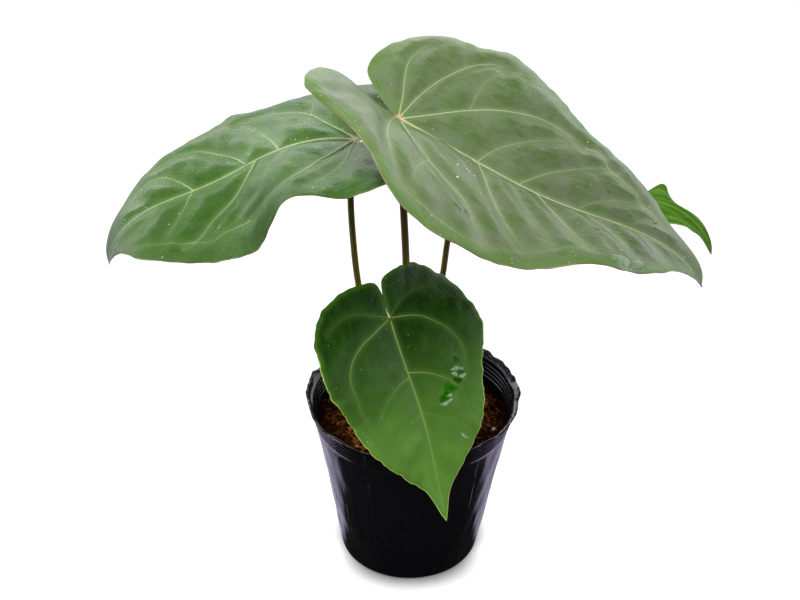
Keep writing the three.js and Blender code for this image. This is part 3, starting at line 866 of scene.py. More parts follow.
def makeLeaf(name):
    looks = bladeLooks[name]
    blade = Blade(leaves[name], leafVeins[name], looks)
    u, v, faces = bladeSheet(blade)
    near, edge = blade.distance(u, v, blade.veinLines), blade.nearEdge(u, v)
    middle = blade.surface(u, v, edge)
    half = looks["half"] * mm * np.clip(0.35 + edge / mm / bladeShared["edgeTaper"], 0, 1)
    count = len(u)
    points, allFaces = twoFaces(middle, facesNormals(middle, faces), half[:, None], faces)
    sides = {(a, b) for face in faces for a, b in zip(face, face[1:] + face[:1])}
    allFaces += [(b, a, a + count, b + count) for a, b in sorted(sides) if (b, a) not in sides]
    u, v, edge, near, glow = (np.tile(part, 2) for part in (u, v, edge, near, blade.glow(u, v)))
    under = np.repeat((0.0, 1.0), count)
    values = leafValues(blade, u, v, edge=edge, near=near, glow=glow, under=under)
    parts = [("blade", (points, allFaces, values))]
    for strength, path in blade.veins:
        crest = looks["crest"] if strength > 1 else looks["ribCrest"] if strength > 0.75 else 0
        for face in (1, -1):
            strip = veinStrip(blade, path, strength, looks["veinWidth"], face, crest if face > 0 else 0)
            parts.append(("blade", strip))
    parts += waterOn(name, blade)
    materials = {"blade": bladeMaterial(name), "drop": dropMaterial()}
    materials.update({kind: filmMaterial(kind) for kind in waterLooks})
    joinParts(f"leaf_{name}", parts, materials, f"blade_{name}")
    return blade


def bladeMaterial(name):
    looks = bladeLooks[name]
    length = leaves[name]["length"] * mm
    m = newMaterial(f"blade {name}")
    flat = m.read("flat", "Vector")
    edge, near, vein, under = (m.read(key) for key in ("edge", "near", "vein", "under"))
    lengthwise, across = m.axis(flat, "X"), m.axis(flat, "Y")
    share = lengthwise / length
    broad = m.cloud(flat, 22, 2)
    patches = m.cloud(flat, 85, 3, 0.6)
    fine = m.cloud(flat, 900, 2)
    bent = m.vector("ADD", flat, m.stretch(m.cloud(flat, 150, 2, out="Color"), (0.004,) * 3))
    net = 1 - m.span(m.cells(bent, 300, "DISTANCE_TO_EDGE"), 0.0, 0.12)
    quilt = m.cells(bent, 125, "SMOOTH_F1")
    swollen = m.span(near, 0.5 * mm, 9 * mm)
    # Silky streaks and faint rungs run the way that the side veins do, out from the midrib and forward
    half = across.above(0.0)
    width = across * half * 2 - across
    lean = lengthwise - width * (0.7 + width * (2.4 / length))
    silk = m.cloud(m.joined(lean * 12, width, half), 75, 3, 0.55)
    rungs = m.cloud(m.joined(lean * 1.6, width * 4.5, half), 60)
    mottle = broad * 0.4 + patches * 0.4 + rungs * 0.2
    colour = m.mix(m.span(mottle, 0.34, 0.66), looks["deep"], looks["pale"])
    # towards the tip; on the front leaf this is painted shade on the lobes and painted light on the tip
    colour = m.mix(m.span(share, 0.0, 0.9) * 0.85, colour, looks["towardTip"])
    colour = m.mix((1 - swollen) * 0.25, colour, looks["pale"])
    bloom = m.span(m.cloud(flat, 48, 4, 0.6) + rungs * 0.25, 0.5, 0.78)
    colour = m.mix(bloom * looks["bloom"], colour, looks["dull"])
    colour = m.mix(m.read("glow") * looks["halo"], colour, looks["vein"])
    colour = m.mix(net * 0.025, colour, looks["vein"])
    reach = looks["edgeZoneReach"] * mm
    zone = 1 - m.span(edge + (patches - 0.5) * reach * 0.9, reach * 0.1, reach)
    colour = m.mix(zone * 0.5, colour, looks["edgeZone"])
    dried = specks(m, flat, 1 - m.span(edge, 2 * mm, 16 * mm)) * looks["specks"]
    colour = m.mix(dried * (1 - under), colour, looks["dried"])
    colour = m.mix(m.span(vein, 0.0, 0.95), colour, looks["vein"])
    line = 1 - m.span(edge, looks["edgeLineWidth"] * 0.4 * mm, looks["edgeLineWidth"] * mm)
    line = line * m.span(share, looks["edgeLineFrom"] - 0.15, looks["edgeLineFrom"])
    lineColour = m.mix(m.span(broad, 0.45, 0.6) * 0.5, looks["edgeLine"], looks["vein"])
    colour = m.mix(line * 0.9, colour, lineColour)
    fromHeart = m.vector("LENGTH", flat, out="Value")
    # on the left leaf the heart colour also carries painted light against the top leaf's shadow
    heart = 1 - m.span(fromHeart + (patches - 0.5) * 3 * mm, 1.0 * mm, looks["heartReach"] * mm)
    colour = m.mix(heart * 0.8, colour, looks["heart"])
    colour = m.mix(under * (1 - vein * 0.6), colour, m.mix(mottle * 0.5, looks["under"], looks["pale"]))
    puffs = quilt * quilt * -looks["quilt"] + patches * 1.2
    folds = silk * looks["silk"] + rungs * looks["rungs"]
    normal = m.bump(net * -0.3 + puffs + fine * 0.2 + folds, 0.4, 0.6 * mm)
    rough = looks["roughness"] + (mottle - 0.5) * 0.25 + (fine - 0.5) * 0.12 + under * 0.18
    shine = {"Specular_IOR_Level": looks["gloss"], "Specular_Tint": looks["gleam"]}
    return m.finish(colour, rough, normal, **shine)


# White specks of dried water, single ones and flocks, which are more usual by the margin
def specks(m, flat, margin):
    flocks = m.span(m.cloud(flat, 42, 2) + margin * 0.09, 0.58, 0.66)
    result = 0.0
    for scale, radius, rarity, spread in ((130, 0.075, 0.8, 1.0), (360, 0.2, 0.55, flocks)):
        dots = 1 - m.span(m.cells(flat, scale), radius * 0.55, radius)
        tint = m.cells(flat, scale, out="Color")
        chance = m.make("ShaderNodeSeparateColor", None, {"Color": tint}, "Red")
        result = dots * chance.above(rarity) * spread + result
    return result.smaller(1.0)


def dropMaterial():
    m = newMaterial("water drop")
    ripple = m.cloud(m.read("flat", "Vector"), 700, 2)
    normal = m.bump(ripple, 0.1, 0.2 * mm)
    return m.finish((0.97, 1.0, 0.97), ripple * 0.03, normal, Transmission_Weight=1.0, IOR=1.33)


def filmMaterial(kind):
    looks = waterLooks[kind]
    m = newMaterial(f"{kind} film")
    cloud = m.cloud(m.read("flat", "Vector"), 320, 3, 0.6)
    # for the pale films, the grey sheen film and the small pale drops, the light colour is painted reflection
    colour = m.mix(m.span(cloud, 0.35, 0.65), looks["dark"], looks["light"])
    normal = m.bump(cloud, 0.25, 0.3 * mm)
    return m.finish(colour, looks["roughness"] + cloud * 0.1, normal, Specular_IOR_Level=looks["gloss"])


blades = {}
for leafName in leaves:
    blades[leafName] = makeLeaf(leafName)
    print("leaf", leafName)


# Stalks: the same routes as the solids, in millimetres. They swell towards the blade, but the front one,
# which shows between the lobes, gets thinner.
stalks = {
    name: {"radius": radius, "swell": swell, "flush": flush, "joint": joint, "share": share, "route": route}
    for name, radius, swell, flush, joint, share, route in (
        ("left", 2.15, 0.35, 0.1, "joint", 0.6, [
            (-10, 3, 108), (-14, 2, 130), (-26, 0, 172), (-35.5, 0, 218), (-39, 0, 258), (-40, 0, 290),
            (-39, 0, 313),
        ]),
        ("top", 2.45, 0.35, 0.75, "joint", 0.6, [
            (-4, 3, 109), (-4, 2, 135), (-3.5, 0, 190), (-4, 0, 238), (-5.5, 0, 275), (-8, 0, 325),
        ]),
        ("rear", 2.15, 0.35, 0.2, "joint", 0.6, [
            (0.5, 8, 108), (5, 12, 130), (15, 23, 172), (21.5, 31, 208), (26, 38, 240), (36.5, 44, 276),
        ]),
        ("front", 1.75, -0.45, 0.4, "paleJoint", 0.9, [
            (-5, -3.5, 108), (-7, -7, 130), (-12, -12, 170), (-16, -17, 205), (-18, -27, 224),
            (-18.7, -38.6, 231),
        ]),
    )
}
stalkLooks = {
    "olive": tone(124, 116, 20),
    "brown": tone(84, 68, 12),
    "green": tone(118, 132, 40),
    "red": tone(112, 62, 36),
    "cream": tone(196, 190, 140),
    "joint": tone(168, 118, 74),
    "paleJoint": tone(255, 240, 176),
}


# A tube along points, with radii, as points, faces and its own coordinates
def tube(line, radii, sides):
    ahead = unit(np.gradient(line, axis=0))
    first = np.cross(ahead[0], (0, 1, 0))
    if np.linalg.norm(first) < 0.1:
        first = np.cross(ahead[0], (1, 0, 0))
    across = [unit(first)]
    for direction in ahead[1:]:
        last = across[-1]
        across.append(unit(last - direction * np.dot(last, direction)))
    across = np.array(across)
    other = np.cross(ahead, across)
    angles = turnAngles(sides)
    ring = np.cos(angles)[:, None] * across[:, None] + np.sin(angles)[:, None] * other[:, None]
    points = (line[:, None] + ring * radii[:, None, None]).reshape(-1, 3)
    last = (len(line) - 1) * sides
    ends = [tuple(range(sides))[::-1], tuple(range(last, last + sides))]
    faces = gridFaces(len(line), sides) + ends
    return points, faces, np.repeat(runAlong(line), sides), np.tile(angles, len(line))


def makeStalk(name):
    stalk = stalks[name]
    up = blades[name].axes(np.array([0.0]))[2][0]
    end = np.array(leaves[name]["junction"]) * mm - up * 0.25 * mm
    line = through(np.vstack([np.array(stalk["route"]) * mm, end]), np.linspace(0, 1, 130))
    run = runAlong(line)
    left = run[-1] - run
    base = 0.4 * np.maximum(0, 1 - run / (30 * mm)) ** 2
    top = stalk["swell"] * np.sqrt(np.maximum(0, 1 - left / (16 * mm)))
    top = top * (1 - 0.35 * np.maximum(0, 1 - left / (2.5 * mm)))
    points, faces, run, around = tube(line, stalk["radius"] * mm * (1 + base + top), 20)
    values = {"run": run, "left": run[-1] - run, "around": np.cos(around), "aside": np.sin(around)}
    piece = makePiece(f"stalk_{name}", points, faces, [stalkMaterial(name)], values)
    mount(piece, f"petiole_{name}")


def stalkMaterial(name):
    looks = stalkLooks
    stalk = stalks[name]
    m = newMaterial(f"stalk {name}")
    run, left, around = m.read("run"), m.read("left"), m.read("around")
    skin = m.joined(around, m.read("aside"), run * 9)
    streak = m.cloud(skin, 3.2, 4, 0.6)
    fine = m.cloud(m.stretch(skin, (4, 4, 1)), 4)
    blotch = m.cloud(skin, 1.4, 2)
    colour = m.mix(m.span(streak, 0.38, 0.62), looks["brown"], looks["olive"])
    colour = m.mix(m.span(fine, 0.52, 0.72) * 0.55, colour, looks["green"])
    red = m.span(around, -0.6, 0.9) if name == "top" else m.span(blotch, 0.45, 0.7)
    colour = m.mix(red * stalk["flush"], colour, looks["red"])
    joint = 1 - m.span(left, 4 * mm, 17 * mm)
    colour = m.mix(joint * stalk["share"], colour, looks[stalk["joint"]])
    sheath = 1 - m.span(run, 6 * mm, 30 * mm)
    colour = m.mix(sheath * 0.4, colour, looks["cream"])
    return m.finish(colour, 0.38 + fine * 0.2, m.bump(streak + fine * 0.6, 0.3, 0.3 * mm))


for stalkName in stalks:
    makeStalk(stalkName)
print("stalks")


# The pot and what it holds share these sizes, in millimetres
pot = {
    "height": 130,
    "foot": 50,
    "shoulder": 71,
    "lip": 75,
    "lipHeight": 5,
    "lean": 2.5,
    "wall": 0.9,
    "footRound": 1.5,
    "rings": 4,
    "ringPitch": 3,
    "ringRelief": 0.7,
    "seams": 16,
    "seamTurn": 0.156,
    "holes": 8,
    "holeRadius": 4.5,
    "holeCircle": 36,
    "floorRings": [12, 24, 30, 36, 42],
    "segments": 336,
    "dents": 1.2,
    "crinkle": 0.55,
    "lipCrinkle": 1.1,
    "lipWaves": 0.5,
    "lipFolds": 0.6,
    "black": (0.006, 0.006, 0.008),
    "scuffAndGlint": tone(70, 68, 78),
    "gleam": (0.9, 0.78, 1.0),
    "gloss": 0.38,
}


def wallRadius(z):
    return pot["foot"] + (pot["shoulder"] - pot["foot"]) * z / (pot["height"] - pot["lipHeight"])


def askew(z):
    return pot["lean"] * (z / pot["height"] - 0.5)


# Points turned round the upright axis
def turned(profile, segments):
    angles = turnAngles(segments)
    radius, height = np.array(profile, float).T[:, :, None]
    points = np.stack([radius * np.cos(angles), radius * np.sin(angles), height + 0 * angles], -1)
    return points.reshape(-1, 3), gridFaces(len(profile), segments)


def makePot():
    foot, shoulder, ringRelief = pot["foot"], pot["shoulder"], pot["ringRelief"]
    rounding = pot["footRound"]
    lipFoot = pot["height"] - pot["lipHeight"]
    ringFoot = lipFoot - pot["rings"] * pot["ringPitch"]
    flare = pot["lip"] - shoulder
    outer = [(foot - rounding, 0)]
    for a in np.linspace(0.3, math.pi / 2, 4):
        outer.append((foot - rounding * (1 - math.sin(a)), rounding * (1 - math.cos(a))))
    outer += [(wallRadius(z), z) for z in np.linspace(4, ringFoot, 36)]
    for z in np.linspace(ringFoot, lipFoot, pot["rings"] * 8 + 1)[1:]:
        share = (z - ringFoot) / pot["ringPitch"]
        outer.append((wallRadius(z) + ringRelief * abs(math.sin(share * math.pi)) ** 0.7, z))
    for share in np.linspace(0.12, 1, 8):
        outer.append((shoulder + flare * share**2, lipFoot + (pot["lipHeight"] - 0.5) * share))
    inner = [(radius - pot["wall"], height + 0.25) for radius, height in outer[5:]][::-1]
    floor = [0.01] + pot["floorRings"]
    profile = [(radius, 0) for radius in floor] + outer + inner
    profile += [(radius, pot["wall"]) for radius in [foot - 2.5] + floor[::-1]]
    points, faces = turned(profile, pot["segments"])
    angle = np.arctan2(points[:, 1], points[:, 0])
    radius = np.hypot(points[:, 0], points[:, 1])
    z = points[:, 2]
    lip = np.clip((z - lipFoot) / pot["lipHeight"], 0, 1)
    wall = np.clip(z / 12, 0, 1) * np.clip((ringFoot - 2 - z) / 8, 0, 1)

    def crumple(turns, rise, shift):
        return noiseAt(np.cos(angle) * turns, np.sin(angle) * turns, z / rise + shift)

    folds, dents, crinkle = crumple(15, 9, 9), crumple(2.2, 45, 0), crumple(7, 20, 5)
    lipSwell = pot["lipCrinkle"] * crinkle + pot["lipWaves"] * np.sin(9 * angle) + pot["lipFolds"] * folds
    swell = wall * (dents * pot["dents"] + crinkle * pot["crinkle"]) + lip * lipSwell
    # The lip flares in a curve, but on the left it stands out more evenly
    curve = 2 - 1.4 * np.clip(-1.3 * np.cos(angle), 0, 1)
    swell = swell + flare * ((lip / 0.9) ** curve - (lip / 0.9) ** 2)
    radius = radius + swell * (radius > foot - 2)
    scallop = 0.5 * np.sin(13 * angle + 1) + 0.3 * np.sin(21 * angle) + 0.9 * crinkle + 1.1 * folds
    points = np.stack([radius * np.cos(angle) + askew(z), radius * np.sin(angle), z + lip * scallop], -1)
    piece = makePiece("nursery_pot", points * mm, faces, [potMaterial()])
    cutHoles(piece)
    mount(piece, "pot")


def cutHoles(piece):
    cutters = []
    for angle in turnAngles(pot["holes"]):
        centre = (pot["holeCircle"] * math.cos(angle) * mm, pot["holeCircle"] * math.sin(angle) * mm, 0)
        bpy.ops.mesh.primitive_cylinder_add(
            vertices=28, radius=pot["holeRadius"] * mm, depth=8 * mm, location=centre
        )
        cutters.append(bpy.context.object)
    bpy.ops.object.select_all(action="DESELECT")
    for cutter in cutters:
        cutter.select_set(True)
    bpy.context.view_layer.objects.active = cutters[0]
    bpy.ops.object.join()
    cutter = bpy.context.object
    modifier = piece.modifiers.new("holes", "BOOLEAN")
    modifier.object = cutter
    modifier.solver = "EXACT"
    depsgraph = bpy.context.evaluated_depsgraph_get()
    cut = bpy.data.meshes.new_from_object(piece.evaluated_get(depsgraph))
    piece.modifiers.clear()
    piece.data = cut
    bpy.data.objects.remove(cutter)


def potMaterial():
    m = newMaterial("black nursery plastic")
    place = m.place()
    ripple = m.cloud(m.stretch(place, (1, 1, 0.12)), 260, 3, 0.6)
    wrinkle = m.cloud(m.stretch(place, (1, 1, 0.35)), 60)
    dust = m.cloud(place, 90, 5, 0.7)
    x, y = m.axis(place, "X"), m.axis(place, "Y")
    turns = y.math("ARCTAN2", y, x) * (pot["seams"] / 2 / math.pi) + pot["seamTurn"] + wrinkle * 0.03
    gap = turns.math("FRACT", turns + 100.5) - 0.5
    crease = (1 - m.span(gap * gap, 0.0, 0.0009)) * m.span(m.cloud(place, 30, 2), 0.42, 0.56)
    scratches = m.span(m.cloud(m.stretch(place, (1, 1, 0.05)), 520, 2), 0.68, 0.76)
    # Painted highlight: lighter specks along the seam creases; the scratches and dust are wear
    seamGlintsAndScuffs = scratches * 0.1 + crease * m.span(m.cloud(place, 260), 0.42, 0.62) * 0.22
    colour = m.mix(m.span(dust, 0.6, 0.85) * 0.06 + seamGlintsAndScuffs, pot["black"], pot["scuffAndGlint"])
    normal = m.bump(wrinkle * 1.6 + ripple * 0.08 + crease * 0.7, 0.5, 1.2 * mm)
    rough = 0.14 + m.span(dust, 0.4, 0.8) * 0.14 + scratches * 0.2
    return m.finish(colour, rough, normal, Specular_IOR_Level=pot["gloss"], Specular_Tint=pot["gleam"])


makePot()
print("pot")


# Coir: a lumpy bed with loose fibres, husk chips and a few white grains, in millimetres. One grain is where
# the photo shows it, right of the front leaf.
coir = {
    "level": 110,
    "lumps": 2.2,
    "fibres": 1500,
    "fibreReach": 63,
    "fibreLength": (5, 18),
    "fibreThick": (0.14, 0.5),
    "chips": 260,
    "chipReach": 62,
    "chipSize": (0.8, 2.6),
    "grains": 9,
    "grainReach": 42,
    "grainSize": (0.7, 1.5),
    "shownGrain": (57.5, -17),
    "shownSize": (1.8, 1.4, 1.2),
    "dark": tone(20, 8, 3),
    "shadow": tone(26, 11, 4),
    "umber": tone(58, 26, 9),
    "brown": tone(128, 66, 26),
    "orange": tone(232, 146, 80),
    "grain": tone(248, 246, 242),
    "grainShade": tone(150, 140, 124),
    "seed": 7,
}


def coirHeight(x, y):
    rim = wallRadius(coir["level"]) - pot["wall"]
    edge = np.clip((rim - np.hypot(x, y)) / 12, 0, 1)
    lump = np.sin(x / 6 + 1) * np.cos(y / 7) + 0.6 * np.sin(x / 3.1 - y / 4.3)
    return coir["level"] + coir["lumps"] * edge * lump - 2 * (1 - edge)


# Fibres, one bent three-sided tube each
def makeFibres(random, count, rule):
    parts = []
    steps = np.linspace(0, 1, 7)
    for _ in range(count):
        start, heading, tilt, length, thick = rule(random)
        bends = random.uniform(-1, 1, 2) * 1.4
        stride = towards(heading + bends[0] * steps + bends[1] * steps**2, tilt * (1 - 1.3 * steps))
        line = start + np.concatenate([[[0, 0, 0]], np.cumsum(stride[:-1], axis=0)]) * length / 6
        points, faces, _, _ = tube(line * mm, thick * mm * (1 - 0.6 * steps), 3)
        parts.append((points, faces, {"shade": np.full(len(points), random.uniform())}))
    return gather(parts)


# Lumps with a few faces, crumpled by noise
def makeLumps(random, count, rule):
    bpy.ops.mesh.primitive_ico_sphere_add(subdivisions=2, radius=1)
    ball = bpy.context.object
    base = np.array([v.co for v in ball.data.vertices])
    faces = [tuple(p.vertices) for p in ball.data.polygons]
    bpy.data.objects.remove(ball)
    parts = []
    for _ in range(count):
        centre, size, crumple = rule(random)
        axes = np.linalg.qr(random.normal(size=(3, 3)))[0]
        rough = noiseAt(*(base * 1.7 + random.uniform(0, 90, 3)).T)
        points = (base * (1 + crumple * rough[:, None]) * size) @ axes + centre
        parts.append((points * mm, faces, {"shade": np.full(len(base), random.uniform())}))
    return gather(parts)


# A random spot on the bed, lifted above it
def onBed(random, reach, least):
    angle = random.uniform(0, 2 * math.pi)
    far = math.sqrt(random.uniform(least, 1)) * reach
    x, y = far * math.cos(angle), far * math.sin(angle)
    return angle, far, np.array([x + askew(coir["level"]), y, coirHeight(x, y)])


def coirFibre(random):
    angle, far, start = onBed(random, coir["fibreReach"], 0.02)
    start[2] += random.uniform(-0.3, 1.6)
    length = random.uniform(*coir["fibreLength"]) * min(1, (70 - far) / 24 + 0.2)
    heading = random.uniform(0, 2 * math.pi)
    if far > 50:
        heading = angle + math.pi + random.uniform(-1.5, 1.5)
    return start, heading, random.uniform(-0.1, 0.45), length, random.uniform(*coir["fibreThick"])


def coirChip(random):
    _, _, centre = onBed(random, coir["chipReach"], 0.03)
    length = random.uniform(*coir["chipSize"])
    size = length * np.array([1, random.uniform(0.4, 0.9), random.uniform(0.25, 0.6)])
    return centre + (0, 0, 0.4), size, 0.9


def makeGrains(random):
    reach = coir["grainReach"]
    others = [tuple(random.uniform(-reach, reach, 2)) for _ in range(coir["grains"] - 1)]
    places = iter([coir["shownGrain"]] + others)

    def rule(random):
        x, y = next(places)
        length = random.uniform(*coir["grainSize"])
        size = length * np.array([1, random.uniform(0.7, 1), random.uniform(0.6, 0.9)])
        shown = (x, y) == coir["shownGrain"]
        return np.array([x, y, coirHeight(x, y) + 1.2]), coir["shownSize"] if shown else size, 0.7

    return makeLumps(random, coir["grains"], rule)


def makeCoir():
    random = np.random.default_rng(coir["seed"])
    rim = wallRadius(coir["level"] - 2) - pot["wall"]
    rings, segments = 64, 150
    profile = [(0.01 + rim * i / rings, coir["level"]) for i in range(rings + 1)]
    profile += [(wallRadius(z) - pot["wall"] - 0.3, z) for z in (104, 80, 40, 6)]
    profile += [(radius, pot["wall"] + 0.4) for radius in (pot["foot"] - 5, 0.01)]
    points, faces = turned(profile, segments)
    top = np.arange(len(points)) < (rings + 1) * segments
    x, y = points[:, 0], points[:, 1]
    grit = noiseAt(x / 3.2, y / 3.2, 0 * x) * 1.1 + noiseAt(x / 1.3, y / 1.3, 0 * x + 4) * 0.6
    points[:, 2] = np.where(top, coirHeight(x, y) + grit, points[:, 2])
    points[:, 0] += askew(points[:, 2])
    bed = (points * mm, [face[::-1] for face in faces], {"shade": np.full(len(points), 0.5)})
    parts = [
        ("bed", bed),
        ("fibre", makeFibres(random, coir["fibres"], coirFibre)),
        ("fibre", makeLumps(random, coir["chips"], coirChip)),
        ("grain", makeGrains(random)),
    ]
    materials = {"bed": coirMaterial(), "fibre": fibreMaterial(), "grain": grainMaterial()}
    joinParts("coir_bed", parts, materials, "coir")


# The medium is darker by the wall: painted shade, where the wall shades it
def damp(m, place):
    far = m.vector("LENGTH", m.stretch(place, (1.0, 1.0, 0.0)), out="Value")
    return m.span(far, 45 * mm, 66 * mm) * 0.8


def coirMaterial():
    m = newMaterial("coir bed")
    place = m.place()
    crumbs = m.cloud(place, 420, 5, 0.65)
    strands = m.cloud(m.stretch(place, (1, 0.25, 1)), 700, 3, 0.6, 1.5)
    stops = [(0.38, coir["dark"]), (0.52, coir["umber"]), (0.68, coir["brown"])]
    colour = m.ramp(crumbs * 0.6 + strands * 0.4, stops)
    colour = m.mix(m.span(m.cloud(place, 90), 0.5, 0.75) * 0.3, colour, coir["orange"])
    # painted shade by the wall
    colour = m.mix(damp(m, place), colour, coir["dark"])
    normal = m.bump(crumbs * 1.2 + strands, 0.9, 1.2 * mm)
    return m.finish(colour, 0.75 + crumbs * 0.2, normal, Specular_IOR_Level=0.03)


def fibreMaterial():
    m = newMaterial("coir fibre")
    place = m.place()
    fine = m.cloud(place, 900)
    stops = [(0.2, coir["shadow"]), (0.48, coir["brown"]), (0.76, coir["orange"])]
    colour = m.ramp(m.read("shade") * 0.75 + fine * 0.25, stops)
    # painted shade by the wall on the fibres too
    colour = m.mix(damp(m, place) * 0.8, colour, coir["dark"])
    return m.finish(colour, 0.6 + fine * 0.3, m.bump(fine, 0.5, 0.3 * mm), Specular_IOR_Level=0.05)


def grainMaterial():
    m = newMaterial("white grain")
    fine = m.cloud(m.place(), 1400, 4)
    colour = m.mix(fine * 0.6, coir["grain"], coir["grainShade"])
    return m.finish(colour, 0.8 + fine * 0.1, m.bump(fine, 0.8, 0.4 * mm))


makeCoir()
print("coir")


# Crown: a short ringed stem, in the dry remains of old leaf bases
crown = {
    "place": (-4, 3),
    "radius": 10.5,
    "foot": 88,
    "top": 121,
    "ringPitch": 7,
    "bark": tone(84, 62, 38),
    "scar": tone(120, 96, 62),
    "sheath": tone(150, 112, 68),
    "sheathDark": tone(84, 54, 30),
    "sheathHalf": 0.2,
    "sheathCrease": 0.55,
    "sheathRagged": 1.6,
    "fibres": 60,
    "seed": 31,
}
sheaths = [
    {"turn": 112, "length": 44, "lean": 10},
    {"turn": 228, "length": 36, "lean": 16},
    {"turn": 335, "length": 50, "lean": 12},
]
sheathOutline = [(0, 0), (-0.02, 0.15), (0.25, 0.17), (0.6, 0.11), (0.9, 0.03), (1, 0)]


def makeSheath(turn, length, lean):
    x, y = crown["place"]
    far = crown["radius"] - 1
    blade = Blade({
        "junction": (x + far * math.cos(turn), y + far * math.sin(turn), coir["level"] + 4),
        "length": length,
        "heading": [math.degrees(turn)] * 2,
        "pitch": [lean - 95, lean - 88, lean - 70],
        "riseLeft": [62, 62],
        "riseRight": [62, 62],
        "droop": -110,
        "outline": sheathOutline,
    })
    u, v, faces = bladeSheet(blade, 44, 14)
    middle = blade.plain(u, v)
    normal = facesNormals(middle, faces)
    crease = noiseAt(u * 3, v * 26, 0 * u + math.degrees(turn))
    ragged = noiseAt(u * 14, v * 30, 0 * u + 3)
    middle = middle + normal * (crown["sheathCrease"] * crease * mm)[:, None]
    middle[:, 2] += crown["sheathRagged"] * mm * ragged * np.clip(u * 3 - 1, 0, 1)
    return *twoFaces(middle, normal, crown["sheathHalf"] * mm, faces), {"shade": np.tile(u, 2)}


def makeCrown():
    random = np.random.default_rng(crown["seed"])
    x, y = crown["place"]
    low, high, radius = crown["foot"], crown["top"], crown["radius"]
    profile = [(0.01, low), (radius - 2, low)]
    for z in np.linspace(low + 1, high - 3, 60):
        scar = abs(math.sin((z - low) / crown["ringPitch"] * math.pi)) ** 0.4
        profile.append((radius - 1.1 + scar, z))
    profile += [(radius - 2.5, high - 1.5), (radius - 5, high), (0.01, high + 0.5)]
    points, faces = turned(profile, 72)
    rough = noiseAt(*points.T / 4) + 0.5 * noiseAt(*points.T / 1.5)
    points[:, :2] *= (1 + 0.05 * rough)[:, None]
    points += (x, y, 0)
    parts = [("bark", (points * mm, faces, {"shade": np.full(len(points), 0.5)}))]
    for sheath in sheaths:
        parts.append(("sheath", makeSheath(math.radians(sheath["turn"]), sheath["length"], sheath["lean"])))

    def rule(random):
        angle = random.uniform(0, 2 * math.pi)
        far = radius + random.uniform(-0.5, 0.4)
        start = np.array([x + far * math.cos(angle), y + far * math.sin(angle), random.uniform(107, 118)])
        heading = angle + random.uniform(-1.2, 1.2)
        return start, heading, random.uniform(0.5, 1.4), random.uniform(4, 11), 0.16

    parts.append(("sheath", makeFibres(random, crown["fibres"], rule)))
    materials = {"bark": barkMaterial(), "sheath": sheathMaterial()}
    joinParts("crown_stem", parts, materials, "crown")


def barkMaterial():
    m = newMaterial("crown bark")
    place = m.place()
    coarse = m.cloud(place, 260, 4, 0.6)
    rings = m.cloud(m.stretch(place, (0.3, 0.3, 1)), 500)
    colour = m.mix(m.span(coarse * 0.5 + rings * 0.5, 0.35, 0.65), crown["bark"], crown["scar"])
    return m.finish(colour, 0.7 + coarse * 0.2, m.bump(coarse + rings, 0.8, 0.8 * mm))


def sheathMaterial():
    m = newMaterial("dry sheath")
    place = m.place()
    veins = m.cloud(m.stretch(place, (1, 1, 0.08)), 900, 3, 0.6)
    blotch = m.cloud(place, 160)
    colour = m.mix(m.span(veins, 0.35, 0.65), crown["sheathDark"], crown["sheath"])
    colour = m.mix(m.span(blotch, 0.5, 0.7) * 0.5, colour, crown["sheathDark"])
    return m.finish(colour, 0.6 + blotch * 0.2, m.bump(veins, 0.6, 0.5 * mm))


makeCrown()
print("crown")


# Stage: a plain pale floor and soft studio light. The sheet that the pot stands on is bright beside and
# behind it, and the room in front is dim.
stage = {
    "floor": 6.0,
    "glow": 0.95,
    "sheetEdge": (-0.016, 0.004),
    "shadowReach": 0.019,
    "dimFloor": 0.03,
    "brightFloor": (0.6, 0.55, 0.76),
    "sheetGlow": (0.3, 0.27, 0.4),
    "backdrop": 2.3,
    "backdropColour": (0.93, 1.0, 0.86),
    "lowColour": (1.0, 0.95, 1.06),
    "roomColour": (0.97, 1.0, 0.95),
    "room": 0.07,
    "lights": [
        {"name": "overhead", "place": (-0.3, -0.2, 1.5), "size": 0.8, "power": 12, "gloss": False},
        {"name": "frontFill", "place": (-0.1, -1.15, 1.3), "size": 0.7, "power": 11, "gloss": False},
        {"name": "glint", "place": (-0.7, 0.5, 1.2), "size": 0.3, "power": 1, "gloss": True},
    ],
}


def makeStage():
    bpy.ops.mesh.primitive_circle_add(vertices=96, radius=stage["floor"], fill_type="NGON")
    floor = bpy.context.object
    floor.name = "floor"
    floor.data.materials.append(floorMaterial())
    for light in stage["lights"]:
        data = bpy.data.lights.new(light["name"], "AREA")
        data.size = light["size"]
        data.energy = light["power"]
        lamp = bpy.data.objects.new(light["name"], data)
        lamp.location = light["place"]
        lamp.visible_camera = False
        lamp.visible_glossy = light["gloss"]
        aim(lamp, (0, 0, 0.25))
    makeBackdrop()
    bpy.context.scene.view_settings.view_transform = "Standard"


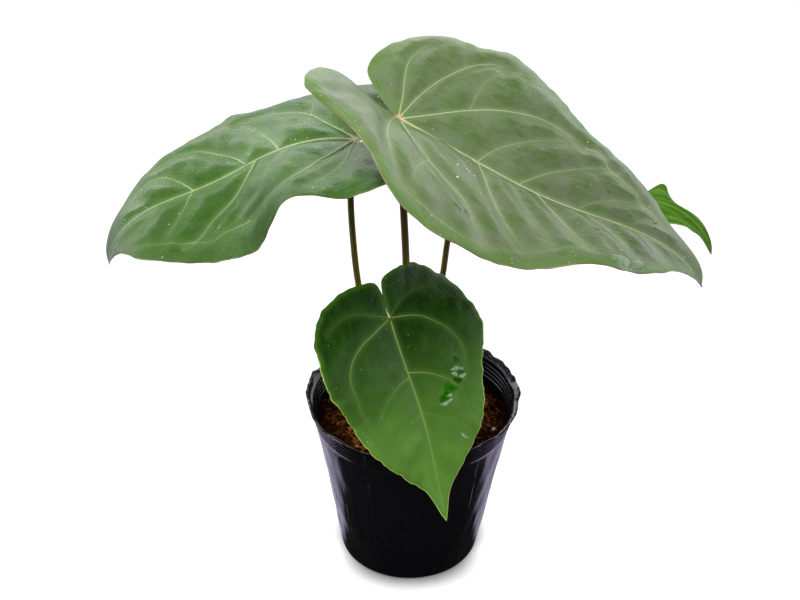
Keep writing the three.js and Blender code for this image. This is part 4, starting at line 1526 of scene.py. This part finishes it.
def makeBackdrop():
    world = bpy.data.worlds.new("studio")
    bpy.context.scene.world = world
    w = Nodes(world)
    direction = w.make("ShaderNodeTexCoord", out="Generated")
    side, depth, height = (w.axis(direction, name) for name in "XYZ")
    sheet = w.mix(w.span(height, 0.0, 0.25), stage["lowColour"], stage["backdropColour"])
    room, backdrop, white = (
        w.make("ShaderNodeBackground", None, {"Color": colour, "Strength": strength})
        for strength, colour in (
            (stage["room"], stage["roomColour"]), (stage["backdrop"], sheet), (1.0, (1.0, 1.0, 1.0))
        )
    )
    low = 1 - w.span(height, 0.3, 0.62)
    behind = w.span(depth + side.larger(0.0) * 0.4, -0.25, 0.45)
    around = w.mixShaders(behind * low, room, backdrop)
    seen = w.make("ShaderNodeLightPath", out="Is Camera Ray")
    w.output(w.mixShaders(seen, around, white), "ShaderNodeOutputWorld")


def floorMaterial():
    m = newMaterial("pale floor")
    place = m.place()
    grain = m.cloud(place, 30, 2)
    depth = m.axis(place, "Y")
    bright = m.span(depth, *stage["sheetEdge"])
    shade = m.mix(bright, (stage["dimFloor"],) * 3, stage["brightFloor"])
    shade = m.mix(grain * 0.1, shade, (0.5, 0.5, 0.5))
    paper = m.mix(grain * 0.1, (0.33, 0.33, 0.33), (0.3, 0.3, 0.3))
    # The camera sees the floor glow, cut by ambient occlusion into a painted contact shadow that is fainter
    # behind the pot
    clear = m.make("ShaderNodeAmbientOcclusion", {"samples": 8}, {"Distance": stage["shadowReach"]}, "AO")
    clear = m.span(clear, 0.2, 1.0 - m.span(depth, -0.05, -0.015) * 0.3)
    black = (0.0, 0.0, 0.0)
    sheetGlow = m.mix(bright, black, stage["sheetGlow"])
    paperGlow = m.mix(clear**1.5, black, (stage["glow"],) * 3)
    dull = {"Roughness": 0.9, "Specular_IOR_Level": 0.0, "Emission_Strength": 1.0}
    around = m.plastic(Base_Color=shade, Emission_Color=sheetGlow, **dull)
    seen = m.plastic(Base_Color=paper, Emission_Color=paperGlow, **dull)
    return m.output(m.mixShaders(m.make("ShaderNodeLightPath", out="Is Camera Ray"), around, seen))


makeStage()
print("stage")
